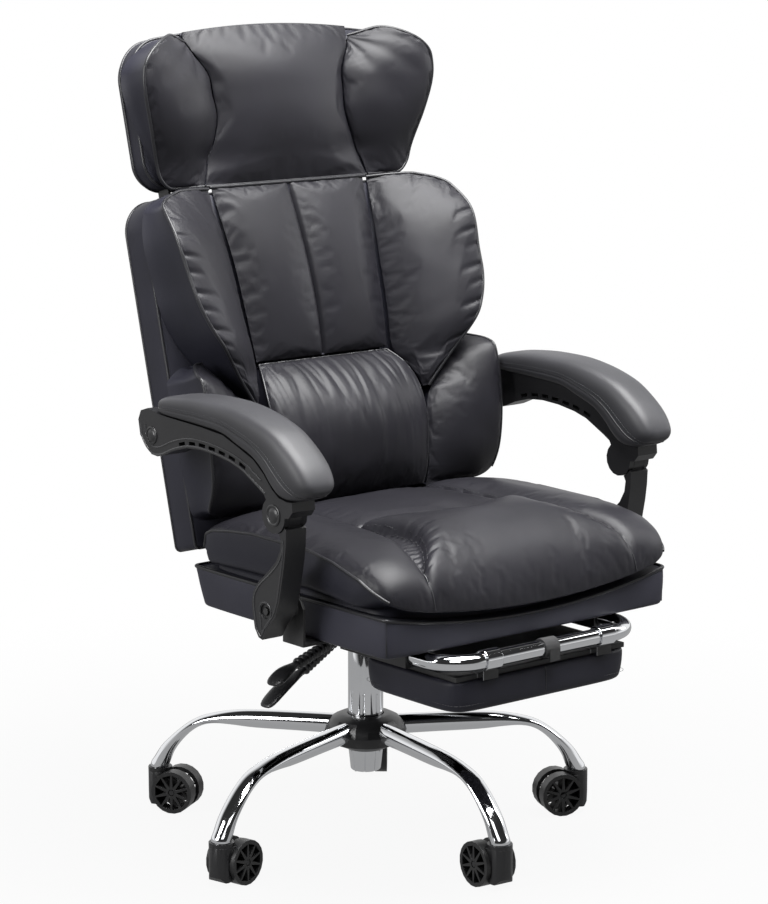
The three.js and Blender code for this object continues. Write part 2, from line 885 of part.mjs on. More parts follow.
function seatBox() {
  const cornerShare = 0.02;
  const place = (u, v, rear, zOf) => {
    const [x, y] = seatPoint(u, v, seat.halfWidth, seat.front, rear, cornerShare);
    return at(x, y, zOf(x, y));
  };
  const border = cushion({
    front: (u, v) => place(u, v, seat.rear, boxTopAt),
    back: (u, v) => place(u, v, seat.rear - seat.undercut, () => seat.boxBottom),
    columns: 8,
    rows: 6,
    drawIn: gap,
  });
  return cut(border, block(...boardCorners(gap)));
}

// The cushion's height above the box: rounded edges, a crown, and a fuller roll along the front.
function cushionTopAt(u, v, x, y) {
  const a = Math.abs(2 * u - 1);
  const b = 2 * v - 1;
  const edge = (1 - a ** 6) ** (1 / 2) * (1 - Math.max(0, b) ** 3.5) ** (1 / 2);
  const nose = (1 - Math.max(0, -b) ** 7) ** (1 / 2);
  const rollShare = THREE.MathUtils.smoothstep(-b, 0.1, 0.5);
  const inRoll = THREE.MathUtils.smoothstep(seat.rollHalfWidth - Math.abs(x), -seat.seamDepth, seat.seamDepth);
  const seam = seat.seamDepth * Math.exp(-(((b + 0.12) * 9) ** 2)) * inRoll;
  const rise = seat.crown * (1 - a ** 2) + seat.rollRise * rollShare * inRoll - seam;
  const place = (seat.cushionRear - y) / (seat.cushionRear - seat.cushionFront);
  const rim = mix(seat.boxTop, seat.pipingTop, along(pipingShares, place, 1));
  return mix(rim, seat.cushionTop, edge * nose) + rise * edge * nose;
}

function seatCushion() {
  const cornerShare = 0.03;
  const plan = (u, v) =>
    seatPoint(u, v, seat.cushionHalfWidth, seat.cushionFront, seat.cushionRear, cornerShare);
  const spread = (w) => (1 - Math.cos(Math.PI * w)) / 2;
  return cushion({
    front: (u, v) => {
      const [x, y] = plan(spread(u), spread(v));
      const nose = seat.boxDip * THREE.MathUtils.smoothstep(1 - 2 * spread(v), 0.5, 1);
      return at(x, y, cushionTopAt(spread(u), spread(v), x, y) - nose);
    },
    back: (u, v) => {
      const [x, y] = plan(spread(u), spread(v));
      return at(x, y, boxTopAt(x, y) + seat.cushionFootGap);
    },
    columns: 14,
    rows: 12,
    drawIn: seat.sideDrawIn,
  });
}

// A steel plate from under the seat board up to the recline pin, which it carries.
function reclineBracket(side) {
  const foot = seat.boxBottom - gap;
  const rear = seat.rear + gap;
  const arc = Array.from({ length: 7 }, (_, i) => {
    const angle = (Math.PI * i) / 6;
    const r = reclinePlate.halfWidth;
    return [reclineY + r * Math.cos(angle), reclineZ + r * Math.sin(angle)];
  });
  const outline = [[rear, foot - sheet], [reclineY + reclinePlate.halfWidth, foot - sheet], ...arc];
  outline.push([Math.max(rear, reclineY - reclinePlate.halfWidth), reclineZ - reclinePlate.eyeRadius]);
  outline.push([rear, seat.boxTop]);
  const inner = reclinePlate.middle - sheet;
  const plate = sidePrism(outline, inner, inner + sheet);
  const shelf = block(
    [inner - 2 * reclinePlate.halfWidth, boardRear - 2 * seat.boardInset, foot - sheet],
    [inner + sheet, reclineY + reclinePlate.halfWidth, foot],
  );
  const pinEnd = inner + 2 * sheet + 2 * gap;
  const pin = bar("x", pinRadius, inner, pinEnd, [0, reclineY, reclineZ], smallFacets);
  return mirrored(joined(plate, shelf, pin), side);
}

// Every handed piece is made on the sitter's left and mirrored for the right.
function mirrored(geometry, side) {
  if (side > 0) return geometry;
  const bare = mergeVertices(solidPositions(geometry));
  const { array } = bare.attributes.position;
  const points = [];
  for (let i = 0; i < array.length; i += 3) points.push(at(-array[i], array[i + 1], array[i + 2]));
  const faces = [];
  const index = bare.index.array;
  for (let i = 0; i < index.length; i += 3) faces.push([index[i], index[i + 1], index[i + 2]]);
  return closed(points, faces);
}

function solidPositions(geometry) {
  const bare = new THREE.BufferGeometry();
  bare.setAttribute("position", geometry.getAttribute("position"));
  bare.setIndex(geometry.index);
  return bare;
}

function seatArmBracket(side) {
  const foot = seat.boxBottom - gap;
  const { lowY, lowZ } = armPivot;
  const half = armBracket.halfLength;
  const shelf = block(
    [armBracket.footInner, lowY - half, foot - sheet],
    [armBracket.plate, lowY + half, foot],
  );
  const outline = [
    [lowY - half, foot - sheet],
    [lowY + half, foot - sheet],
    [lowY + half, lowZ],
    [lowY + half / 2, lowZ + half * 0.8],
    [lowY - half / 2, lowZ + half * 0.8],
    [lowY - half, lowZ],
  ];
  const plate = sidePrism(outline, armBracket.plate, armBracket.plate + sheet);
  const postInner = arm.middle - arm.postWidth / 2;
  const boss = bar("x", armBracket.bossRadius, armBracket.plate, postInner - gap, [0, lowY, lowZ], 12);
  const pinEnd = arm.middle + arm.postWidth / 2;
  const pin = bar("x", pinRadius, armBracket.plate, pinEnd, [0, lowY, lowZ], smallFacets);
  return mirrored(joined(shelf, plate, boss, pin), side);
}

// Armrests: a bent post, an arched frame with windows, and a padded top

function armPost(side) {
  const span = armPivot.frontZ - armPivot.lowZ;
  const outline = postOutlineShares.map(([y, z]) => [
    armPivot.lowY + y * span,
    armPivot.lowZ + z * span,
  ]);
  const [inner, outer] = [-1, 1].map((s) => arm.middle + (s * arm.postWidth) / 2);
  const [tongueInner, tongueOuter] = [-1, 1].map((s) => arm.middle + (s * arm.tongueWidth) / 2);
  const disc = [0, armPivot.frontY, armPivot.frontZ];
  const roomRadius = arm.discRadius + 2 * gap;
  const room = bar("x", roomRadius, inner - overrun, outer + overrun, disc, roundFacets);
  const body = cut(sidePrism(outline, inner, outer), room);
  const neck = sidePrism(outline, tongueInner, tongueOuter);
  const knuckle = bar("x", arm.discRadius, tongueInner, tongueOuter, disc, roundFacets);
  const holes = [
    [armPivot.frontY, armPivot.frontZ],
    [armPivot.lowY, armPivot.lowZ],
  ].map(([y, z]) => pinHole("x", pinRadius, inner - overrun, outer + overrun, [0, y, z]));
  const recess = bar(
    "x",
    2 * pinRadius + pinPlay,
    outer - pinRadius / 2,
    outer + overrun,
    [0, armPivot.lowY, armPivot.lowZ],
    12,
  );
  return mirrored(cut(joined(body, neck, knuckle), ...holes, recess), side);
}

const frameY = (share) => frameRearY - share * frameLength;
const frameZ = (share) => frameLowZ + share * frameHeight;

// Places along the arch where its windows stand, with the slope there.
function archWindows() {
  const first = 0.3;
  const last = 0.68;
  const rows = [...frameArchShares].reverse().filter(([y]) => y > first - 0.1 && y < last + 0.1);
  return Array.from({ length: arm.windowCount }, (_, k) => {
    const share = mix(first, last, k / (arm.windowCount - 1));
    const step = 0.02;
    const z = frameZ(along(rows, share, 1));
    const rise = frameZ(along(rows, share + step, 1)) - frameZ(along(rows, share - step, 1));
    return { y: frameY(share), z, slope: Math.atan2(-rise, 2 * step * frameLength) };
  });
}

function armFrame(side) {
  const [inner, outer] = [-1, 1].map((s) => arm.middle + (s * arm.frameWidth) / 2);
  const disc = Array.from({ length: 11 }, (_, i) => {
    const angle = degToRad(mix(discDegrees.first, discDegrees.last, i / 10));
    const y = armPivot.frontY + arm.discRadius * Math.cos(angle);
    return [y, armPivot.frontZ + arm.discRadius * Math.sin(angle)];
  });
  const outline = [
    ...frameTopShares.map(([y, z]) => [frameY(y), frameZ(z)]),
    ...disc,
    ...frameArchShares.map(([y, z]) => [frameY(y), frameZ(z)]),
  ];
  const body = sidePrism(outline, inner, outer);
  const [postInner, postOuter] = [-1, 1].map((s) => arm.middle + s * (arm.tongueWidth / 2 + gap));
  const fork = bar(
    "x",
    arm.discRadius + 3 * gap,
    postInner,
    postOuter,
    [0, armPivot.frontY, armPivot.frontZ],
    roundFacets,
  );
  const windows = archWindows().map(({ y, z, slope }) => {
    const made = block(
      [inner - overrun, -arm.windowLength / 2, arm.windowAbove],
      [outer + overrun, arm.windowLength / 2, arm.windowAbove + arm.windowHeight],
    );
    return made.rotateX(slope).translate(0, y, z);
  });
  const eye = bar(
    "x",
    armPinRadius + pinPlay,
    inner - overrun,
    outer + overrun,
    [0, armPivot.rearY, armPivot.rearZ],
    12,
  );
  const dish = bar(
    "x",
    armPinRadius + sheet,
    outer - sheet / 2,
    outer + overrun,
    [0, armPivot.rearY, armPivot.rearZ],
    12,
  );
  const pivot = [0, armPivot.frontY, armPivot.frontZ];
  const pin = bar("x", pinRadius, inner, outer, pivot, smallFacets);
  const forked = cut(body, fork, ...windows, eye, dish);
  return mirrored(joined(forked, pin), side);
}

const armPinRadius = 7;

function armPad(side) {
  const facets = 12;
  const squareShare = 0.65; // 1 is an ellipse, and less is squarer
  const rings = padSectionShares.map(([lowY, lowZ, highY, highZ, width]) => {
    const low = at(arm.padMiddle, frameY(lowY), frameZ(lowZ) + gap);
    const high = at(arm.padMiddle, frameY(highY), frameZ(highZ));
    const half = high.clone().sub(low).divideScalar(2);
    const middle = low.clone().add(half);
    return Array.from({ length: facets }, (_, k) => {
      const angle = (turn * (k + 1 / 2)) / facets;
      const across = Math.sign(Math.cos(angle)) * Math.abs(Math.cos(angle)) ** squareShare;
      const sine = Math.sin(angle);
      const up = sine < 0 ? -1 : sine ** squareShare;
      const point = middle.clone().addScaledVector(half, up);
      point.x += (across * width * arm.padWidth) / 2;
      return point;
    });
  });
  return mirrored(loft(rings), side);
}

// Backrest, in its own leaning frame

// Turns a point of the chair's side view, (y, z), into the backrest's frame.
function inBack(y, z) {
  const lean = degToRad(backLeanDegrees);
  const dy = y - back.originY;
  const dz = z - back.originZ;
  return [dy * Math.cos(lean) - dz * Math.sin(lean), dy * Math.sin(lean) + dz * Math.cos(lean)];
}

const [eyeY, eyeZ] = inBack(reclineY, reclineZ);
const [bossY, bossZ] = inBack(armPivot.rearY, armPivot.rearZ);
const plateInner = reclinePlate.middle + gap;
const plateOuter = plateInner + sheet;

// Two flat uprights with hinge eyes and arm pins, joined by crossbars.
function backFrame() {
  const half = (upright.front + upright.width + upright.front) / 2;
  const uprightSide = (side) => {
    const r = reclinePlate.eyeRadius;
    const outline = [
      [upright.front, upright.top],
      [upright.front, bossZ + 2 * r],
      [bossY - r, bossZ + r],
      [bossY - r, bossZ - r],
      [upright.front, bossZ - 2 * r],
      [upright.front, eyeZ + 2 * r],
      [eyeY - r, eyeZ + r / 2],
      [eyeY - r, eyeZ - r / 2],
      [eyeY - r / 2, eyeZ - r],
      [eyeY + r / 2, eyeZ - r],
      [eyeY + r, eyeZ],
      [upright.front + upright.width, eyeZ + 3 * r],
      [upright.front + upright.width, upright.top],
    ];
    const plate = sidePrism(outline, plateInner, plateOuter);
    const pinEnd = arm.middle + arm.frameWidth / 2 - sheet;
    const pin = bar("x", armPinRadius, plateInner, pinEnd, [0, bossY, bossZ], 12);
    const shoulderEnd = arm.middle - arm.frameWidth / 2 - gap;
    const shoulder = bar("x", armPinRadius + sheet / 2, plateInner, shoulderEnd, [0, bossY, bossZ], 12);
    const hole = pinHole("x", pinRadius, 0, back.halfWidth, [0, eyeY, eyeZ]);
    return mirrored(cut(joined(plate, pin, shoulder), hole), side);
  };
  const rails = [panel.bottom, back.height - 2 * upright.width].map((z) =>
    block(
      [-plateInner - gap, half - sheet / 2, z],
      [plateInner + gap, half + sheet / 2, z + upright.width],
    ),
  );
  return joined(uprightSide(1), uprightSide(-1), ...rails);
}

// Grooves that the steel frame needs in whatever it runs through.
function frameRooms() {
  const half = (upright.front + upright.width + upright.front) / 2;
  const rooms = Object.values(sides).map((side) => {
    const outer = plateOuter + 3 * gap;
    const inner = reclinePlate.middle - sheet - 2 * gap;
    const rear = upright.front + upright.width + gap;
    const channel = block([inner, -wingDepth, -overrun], [outer, rear, upright.top + gap]);
    const swing = sidePrism(
      [
        [-wingDepth, -overrun],
        [back.thickness, -overrun],
        [back.thickness, eyeZ / 2],
        [rear, eyeZ + 3 * reclinePlate.eyeRadius],
        [-wingDepth, eyeZ + 3 * reclinePlate.eyeRadius],
      ],
      inner,
      outer,
    );
    return mirrored(joined(channel, swing), side);
  });
  const rails = [panel.bottom, back.height - 2 * upright.width].map((z) =>
    block(
      [-plateOuter, -wingDepth, z - gap],
      [plateOuter, half + sheet / 2 + gap, z + upright.width + gap],
    ),
  );
  return [...rooms, ...rails];
}

// Rooms in the side cushions for the arm's pin and the plates that carry it.
function sideRooms() {
  const r = reclinePlate.eyeRadius + 2 * gap;
  const inner = reclinePlate.middle - sheet - 2 * gap;
  const outer = plateOuter + gap;
  const pinRoom = armPinRadius + sheet / 2 + 2 * gap;
  return [
    bar("x", pinRoom, inner, arm.middle, [0, bossY, bossZ], 12),
    block([inner, bossY - r, bossZ - 2 * r], [outer, 0, bossZ + 2 * r]),
  ];
}

// A padded shell: a rounded outline, a flat front, and a rear face that crowns a little.
function paddedShell({ halfWidth, bottom, top, arch, depth, topCorner, bottomCorner, rearEdge }) {
  const arcSteps = 4;
  const frontEdge = 4;
  const outline = (inset) => {
    const ring = [];
    const corners = [
      [1, 1, 0],
      [-1, 1, 1],
      [-1, -1, 2],
      [1, -1, 3],
    ];
    for (const [sx, sz, quarter] of corners) {
      const r = Math.max((sz > 0 ? topCorner : bottomCorner) - inset, 1);
      const cx = sx * (halfWidth - inset - r);
      const cz = sz > 0 ? top - inset - r : bottom + inset + r;
      for (let i = 0; i <= arcSteps; i++) {
        const angle = (Math.PI / 2) * (quarter + i / arcSteps);
        const x = cx + r * Math.cos(angle);
        const rise = sz > 0 ? arch * (1 - (x / halfWidth) ** 2) : 0;
        ring.push([x, cz + r * Math.sin(angle) + rise]);
      }
    }
    return ring;
  };
  const layers = [
    [frontEdge, -depth],
    [0, -depth + frontEdge],
    [0, -rearEdge],
    [rearEdge / 2, 0],
    [halfWidth / 3, back.rearCrown],
  ];
  return loft(layers.map(([inset, y]) => outline(inset).map(([x, z]) => at(x, y, z))));
}

function backShell() {
  const body = paddedShell({
    halfWidth: back.halfWidth,
    bottom: 0,
    top: back.height,
    arch: 0,
    depth: back.thickness,
    topCorner: back.topCorner,
    bottomCorner: back.bottomCorner,
    rearEdge: back.rearEdge,
  });
  const relief = sidePrism(
    [
      [-back.thickness - overrun, -overrun],
      [-back.footDepth, -overrun],
      [-back.thickness - overrun, back.footRelief],
    ],
    -back.halfWidth - overrun,
    back.halfWidth + overrun,
  );
  return cut(body, relief, ...frameRooms());
}

function headrestShell() {
  const body = paddedShell({
    halfWidth: back.headHalfWidth,
    bottom: back.headBottom,
    top: back.headTop,
    arch: back.headArch,
    depth: back.headThickness,
    topCorner: back.headTopCorner,
    bottomCorner: back.headBottomCorner,
    rearEdge: back.headRearEdge,
  });
  return cut(body, ...frameRooms());
}

const edgeX = (rows, z) => along(rows, z / back.height, 1) * back.cushionHalfWidth;
const edgeY = (rows, z) => -along(rows, z / back.height, 2) * wingDepth;

// A cushion on the back's shell between two edge lines, bulging between them. Its top and bottom are
// heights that may change from the inner edge to the outer one.
function backCushion({ inner, outer, bottom, top, base, bulge, columns, rows, drawIn }) {
  const spread = (w) => (1 - Math.cos(Math.PI * w)) / 2;
  const point = (u, v, onFront) => {
    const z = mix(bottom(u), top(u), spread(v));
    const x = mix(inner.x(z), outer.x(z), u);
    if (!onFront) return at(x, base, z);
    const swell = bulge(u, spread(v)) * Math.sin(Math.PI * spread(v)) ** (1 / 2);
    return at(x, mix(inner.y(z), outer.y(z), u) - swell, z);
  };
  return cushion({
    front: (u, v) => point(u, v, true),
    back: (u, v) => point(u, v, false),
    columns,
    rows,
    drawIn,
  });
}

const edge = (rows, sign = 1, offset = 0) => ({
  x: (z) => sign * (edgeX(rows, z) + offset),
  y: (z) => edgeY(rows, z),
});
const cushionBase = -back.thickness - cushionLift;
const headBase = -back.headThickness - cushionLift;
const arched = (height) => (u) => height * Math.sin(Math.PI * u) ** (1 / 2);

function backCenter() {
  // Two channels, with the sewn groove between them.
  const channels = (u) => panel.crown * Math.abs(Math.sin(2 * Math.PI * u)) ** (1 / 2);
  return backCushion({
    inner: edge(panelEdgeShares, -1, -pieceGap),
    outer: edge(panelEdgeShares, 1, -pieceGap),
    bottom: () => panel.bottom + pieceGap,
    top: () => panel.top,
    base: cushionBase,
    bulge: channels,
    columns: 12,
    rows: 6,
    drawIn: gap,
  });
}

function lumbarCushion() {
  return backCushion({
    inner: edge(lumbarEdgeShares, -1, -pieceGap),
    outer: edge(lumbarEdgeShares, 1, -pieceGap),
    bottom: () => lumbar.bottom,
    top: () => lumbar.top,
    base: cushionBase,
    bulge: arched(lumbar.crown),
    columns: 10,
    rows: 8,
    drawIn: gap,
  });
}

function backWing(side) {
  const made = backCushion({
    inner: edge(wingInnerShares, 1, pieceGap),
    outer: edge(wingOuterShares),
    bottom: () => wing.bottom,
    top: (u) => wing.top - wing.topDrop * u ** 3,
    base: cushionBase,
    bulge: arched(wing.bulge),
    columns: 7,
    rows: 12,
    drawIn: pieceGap,
  });
  return mirrored(made, side);
}

function backBolster(side) {
  const made = backCushion({
    inner: edge(bolsterInnerShares, 1, pieceGap),
    outer: edge(bolsterOuterShares),
    bottom: () => bolster.bottom,
    top: () => bolster.top,
    base: cushionBase,
    bulge: arched(bolster.bulge),
    columns: 6,
    rows: 8,
    drawIn: pieceGap,
  });
  return mirrored(cut(made, ...sideRooms()), side);
}

function headrestCenter() {
  return backCushion({
    inner: edge(headSeamShares, -1, -pieceGap),
    outer: edge(headSeamShares, 1, -pieceGap),
    bottom: () => headPad.bottom,
    top: (u) => headPad.top + headPad.arch * (1 - (2 * u - 1) ** 2),
    base: headBase,
    bulge: arched(headPad.crown),
    columns: 8,
    rows: 8,
    drawIn: gap,
  });
}

function headrestWing(side) {
  const made = backCushion({
    inner: edge(headSeamShares, 1, pieceGap),
    outer: edge(headOuterShares),
    bottom: (u) => headWing.bottom + headWing.footRise * u ** 4,
    top: (u) => headPad.top + headWing.peak * Math.sin(Math.PI * u) - headWing.topDrop * u ** 3,
    base: headBase,
    bulge: arched(headWing.bulge),
    columns: 6,
    rows: 9,
    drawIn: pieceGap,
  });
  return mirrored(made, side);
}

// Footrest: a chrome loop in two guides, and a pad that flips over on its front bar

function footrestTube() {
  const { tubeRadius, barY, tubeZ, halfSpread, bendRadius, tubeRear } = footrest;
  const facets = 10;
  const section = Array.from({ length: facets }, (_, i) => {
    const angle = (turn * (i + 1 / 2)) / facets;
    return [tubeRadius * Math.cos(angle), tubeRadius * Math.sin(angle)];
  });
  const bendSteps = 5;
  const route = [at(halfSpread, tubeRear, tubeZ)];
  for (const [sign, start] of [
    [1, 0],
    [-1, 1],
  ]) {
    for (let i = 0; i <= bendSteps; i++) {
      const angle = (Math.PI / 2) * (start + i / bendSteps);
      const x = sign * (halfSpread - bendRadius) + bendRadius * Math.cos(angle);
      const y = barY + bendRadius - bendRadius * Math.sin(angle);
      route.push(at(x, y, tubeZ));
    }
  }
  route.push(at(-halfSpread, tubeRear, tubeZ));
  return sweep(
    route.map((point) => ({ at: point, section })),
    at(0, 0, 1),
  );
}

function footrestGuide(side) {
  const { tubeRadius, tubeZ, halfSpread, guideFront, guideRear, guideHalfWidth } = footrest;
  const top = seat.boxBottom - gap;
  const bottom = tubeZ - guideHalfWidth;
  const body = block(
    [halfSpread - guideHalfWidth, guideFront, bottom],
    [halfSpread + guideHalfWidth, guideRear, top],
  );
  const bore = bar(
    "y",
    tubeRadius + pinPlay + gap,
    guideFront - overrun,
    guideRear + overrun,
    [halfSpread, 0, tubeZ],
    16,
  );
  return mirrored(cut(body, bore), side);
}

function footrestBoard() {
  const { padHalfWidth, padFront, padRear, padTop, boardThickness, clipHalfWidth } = footrest;
  const inset = footrest.clipThickness * 2;
  const board = block(
    [-padHalfWidth + inset, padFront + inset, padTop],
    [padHalfWidth - inset, padRear - inset, padTop + boardThickness],
  );
  const clipRadius = footrest.tubeRadius + pinPlay + footrest.clipThickness;
  const clips = [-1, 1].map((side) => {
    const x = side * footrest.clipOffset;
    const place = [0, footrest.barY, footrest.tubeZ];
    const ring = bar("x", clipRadius, x - clipHalfWidth, x + clipHalfWidth, place, 12);
    const tongue = block(
      [x - clipHalfWidth, footrest.barY - boardThickness / 2, padTop],
      [x + clipHalfWidth, padFront + 3 * inset, footrest.tubeZ - footrest.tubeRadius],
    );
    return joined(ring, tongue);
  });
  const tube = bar(
    "x",
    footrest.tubeRadius + pinPlay,
    -padHalfWidth,
    padHalfWidth,
    [0, footrest.barY, footrest.tubeZ],
    12,
  );
  return cut(joined(board, ...clips), tube);
}

function footrestCushion() {
  const { padHalfWidth, padFront, padRear, padTop, padBottom, sagDepth } = footrest;
  const spread = (w) => (1 - Math.cos(Math.PI * w)) / 2;
  const cornerShare = 0.12;
  return cushion({
    front: (u, v) => {
      const [a, b] = [2 * spread(u) - 1, 2 * spread(v) - 1];
      const [x, y] = seatPoint(spread(u), spread(v), padHalfWidth, padFront, padRear, cornerShare);
      const belly = (1 - a ** 4) * (1 - b ** 4);
      return at(x, y, padBottom + sagDepth - sagDepth * belly);
    },
    back: (u, v) => {
      const [x, y] = seatPoint(spread(u), spread(v), padHalfWidth, padFront, padRear, cornerShare);
      return at(x, y, padTop - gap);
    },
    columns: 8,
    rows: 6,
    drawIn: -sagDepth / 2,
  });
}

// A band of webbing round the bar's middle, with a tab to pull the footrest out by.
function footrestStrap() {
  const { tubeRadius, barY, tubeZ, strapHalfWidth, strapReach, strapThickness } = footrest;
  const inner = tubeRadius + pinPlay;
  const outer = inner + strapThickness;
  const place = [0, barY, tubeZ];
  const band = bar("x", outer, -strapHalfWidth, strapHalfWidth, place, 16);
  const tab = block(
    [-strapHalfWidth / 2, barY - outer, tubeZ - strapReach - strapThickness],
    [strapHalfWidth, barY - outer + strapThickness, tubeZ],
  );
  const bore = bar("x", inner, -strapHalfWidth - overrun, strapHalfWidth + overrun, place, 16);
  return cut(joined(band, tab), bore);
}

// Levers: a rod, a ribbed sleeve and a drooping paddle, all one moulding

function leverArm({ root, knee, tip }) {
  const [from, bend, end] = [root, knee, tip].map((place) => at(...place));
  const ring = (radius) => ovalSectionCentred(2 * radius, 2 * radius);
  const stations = [{ at: from, section: ring(lever.rodRadius) }];
  const sleeveStart = from.clone().lerp(bend, 0.42);
  stations.push({ at: sleeveStart.clone().lerp(from, 0.02), section: ring(lever.rodRadius) });
  for (let k = 0; k < lever.ribCount; k++) {
    const [low, high] = [k, k + 1 / 2].map((n) => sleeveStart.clone().lerp(bend, n / lever.ribCount));
    stations.push({ at: low, section: ring(lever.sleeveRadius - lever.ribDepth) });
    stations.push({ at: high, section: ring(lever.sleeveRadius) });
  }
  stations.push({ at: bend, section: ring(lever.rodRadius) });
  const widthShares = [0.45, 0.72, 0.95, 1, 0.95, 0.6];
  widthShares.forEach((share, i) => {
    const place = bend.clone().lerp(end, (i + 1 / 2) / (widthShares.length - 1 / 2));
    place.z += lever.paddleThickness * Math.sin((Math.PI * i) / widthShares.length);
    const section = ovalSectionCentred(share * lever.paddleWidth, lever.paddleThickness);
    stations.push({ at: place, section });
  });
  return sweep(stations, at(0, 0, 1));
}

function ovalSectionCentred(width, depth) {
  return ovalSection(width, depth, 8).map(([across, up]) => [across, up + depth / 2]);
}

// Assembly

const chair = new THREE.Group();
chair.position.y = swivelBehindMiddle;

chair.add(mesh("base_hub", hubRing(), "steel"));
chair.add(mesh("hub_cover", hubCover(), "plastic"));
chair.add(mesh("lift_column", liftColumn(), "chrome"));
const legGeometry = legAlongY();
for (let k = 0; k < caster.count; k++) {
  const made = mesh(`base_leg_${k + 1}`, legGeometry.clone(), "chrome");
  made.rotation.z = -degToRad(legDegrees(k));
  chair.add(made);
}
chair.add(...castersInPlace());

const pistonBar = bar("z", piston.radius, piston.bottom, piston.top, [0, 0, 0], 16);
chair.add(mesh("lift_piston", pistonBar, "chrome"));

chair.add(mesh("tilt_mechanism", tiltMechanism(), "steel"));
chair.add(mesh("seat_board", block(...boardCorners(0)), "wood"));
chair.add(mesh("seat_box", seatBox(), "border"));
chair.add(mesh("seat_cushion", seatCushion(), "leather"));
for (const [name, side] of Object.entries(sides)) {
  chair.add(mesh(`footrest_guide_${name}`, footrestGuide(side), "steel"));
  chair.add(mesh(`recline_bracket_${name}`, reclineBracket(side), "steel"));
  chair.add(mesh(`seat_arm_bracket_${name}`, seatArmBracket(side), "steel"));
  chair.add(mesh(`arm_post_${name}`, armPost(side), "plastic"));
  chair.add(mesh(`arm_frame_${name}`, armFrame(side), "plastic"));
  chair.add(mesh(`arm_pad_${name}`, armPad(side), "leather"));
}
for (const [name, route] of Object.entries(leverRoutes)) {
  chair.add(mesh(name, leverArm(route), "plastic"));
}
chair.add(mesh("footrest_tube", footrestTube(), "chrome"));
chair.add(mesh("footrest_board", footrestBoard(), "steel"));
chair.add(mesh("footrest_cushion", footrestCushion(), "border"));
chair.add(mesh("footrest_strap", footrestStrap(), "plastic"));

const backrest = new THREE.Group();
backrest.position.set(0, back.originY, back.originZ);
backrest.rotation.x = -degToRad(backLeanDegrees);
backrest.add(mesh("back_frame", backFrame(), "steel"));
backrest.add(mesh("back_shell", backShell(), "border"));
backrest.add(mesh("back_center", backCenter(), "leather"));
backrest.add(mesh("lumbar_cushion", lumbarCushion(), "leather"));
backrest.add(mesh("headrest_shell", headrestShell(), "border"));
backrest.add(mesh("headrest_center", headrestCenter(), "leather"));
for (const [name, side] of Object.entries(sides)) {
  backrest.add(mesh(`back_wing_${name}`, backWing(side), "leather"));
  backrest.add(mesh(`back_bolster_${name}`, backBolster(side), "leather"));
  backrest.add(mesh(`headrest_wing_${name}`, headrestWing(side), "leather"));
}
chair.add(backrest);

const part = new THREE.Group();
part.add(chair);
export default part;
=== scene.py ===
import math

import bmesh
import bpy
import numpy as np
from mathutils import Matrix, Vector, noise


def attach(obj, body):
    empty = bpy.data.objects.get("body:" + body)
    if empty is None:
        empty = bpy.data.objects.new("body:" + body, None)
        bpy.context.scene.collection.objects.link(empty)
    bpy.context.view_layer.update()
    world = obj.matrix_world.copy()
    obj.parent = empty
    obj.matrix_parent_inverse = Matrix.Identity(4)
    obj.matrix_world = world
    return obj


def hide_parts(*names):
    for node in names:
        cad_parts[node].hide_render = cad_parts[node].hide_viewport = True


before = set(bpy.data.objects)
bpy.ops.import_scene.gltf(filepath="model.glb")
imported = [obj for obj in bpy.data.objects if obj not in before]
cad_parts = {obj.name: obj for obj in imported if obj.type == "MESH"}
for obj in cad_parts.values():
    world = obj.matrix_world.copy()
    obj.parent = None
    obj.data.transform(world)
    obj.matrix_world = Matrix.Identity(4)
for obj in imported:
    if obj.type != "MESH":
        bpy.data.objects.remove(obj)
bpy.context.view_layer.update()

scene = bpy.context.scene

# Five chromed steel legs. Each is a round tube that is pressed flat towards its end and bends down over
# its caster. They are welded to a ring round the lift column.
swivel_y = 0.0517


def plain_finish(name, colour, roughness, metallic=0.0):
    material = bpy.data.materials.new(name)
    material.use_nodes = True
    shader = material.node_tree.nodes["Principled BSDF"]
    shader.inputs["Base Color"].default_value = (*colour, 1)
    shader.inputs["Roughness"].default_value = roughness
    shader.inputs["Metallic"].default_value = metallic
    return material, material.node_tree.nodes, material.node_tree.links, shader


def uneven_roughness(material_parts, scale, low, high):
    material, nodes, links, shader = material_parts
    place = nodes.new("ShaderNodeTexCoord")
    cloud = nodes.new("ShaderNodeTexNoise")
    cloud.inputs["Scale"].default_value = scale
    cloud.inputs["Detail"].default_value = 3
    span = nodes.new("ShaderNodeMapRange")
    span.inputs["To Min"].default_value = low
    span.inputs["To Max"].default_value = high
    links.new(place.outputs["Object"], cloud.inputs["Vector"])
    links.new(cloud.outputs["Fac"], span.inputs["Value"])
    links.new(span.outputs["Result"], shader.inputs["Roughness"])
    return material


chrome = uneven_roughness(plain_finish("bright_chrome", (0.78, 0.79, 0.81), 0.06, 1.0), 40, 0.04, 0.10)


def add_mesh(name, points, faces, materials, sharp_degrees=None):
    mesh = bpy.data.meshes.new(name)
    mesh.from_pydata([tuple(p) for p in points], [], [tuple(f) for f in faces])
    work = bmesh.new()
    work.from_mesh(mesh)
    bmesh.ops.remove_doubles(work, verts=work.verts, dist=1e-6)
    bmesh.ops.recalc_face_normals(work, faces=work.faces)
    work.to_mesh(mesh)
    work.free()
    for material in materials:
        mesh.materials.append(material)
    made = bpy.data.objects.new(name, mesh)
    scene.collection.objects.link(made)
    mesh.shade_smooth()
    if sharp_degrees:
        mesh.set_sharp_from_angle(angle=math.radians(sharp_degrees))
    return made


def settle(made, body, slot, *nodes):
    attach(made, body)
    if nodes:
        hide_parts(*nodes)
    return made


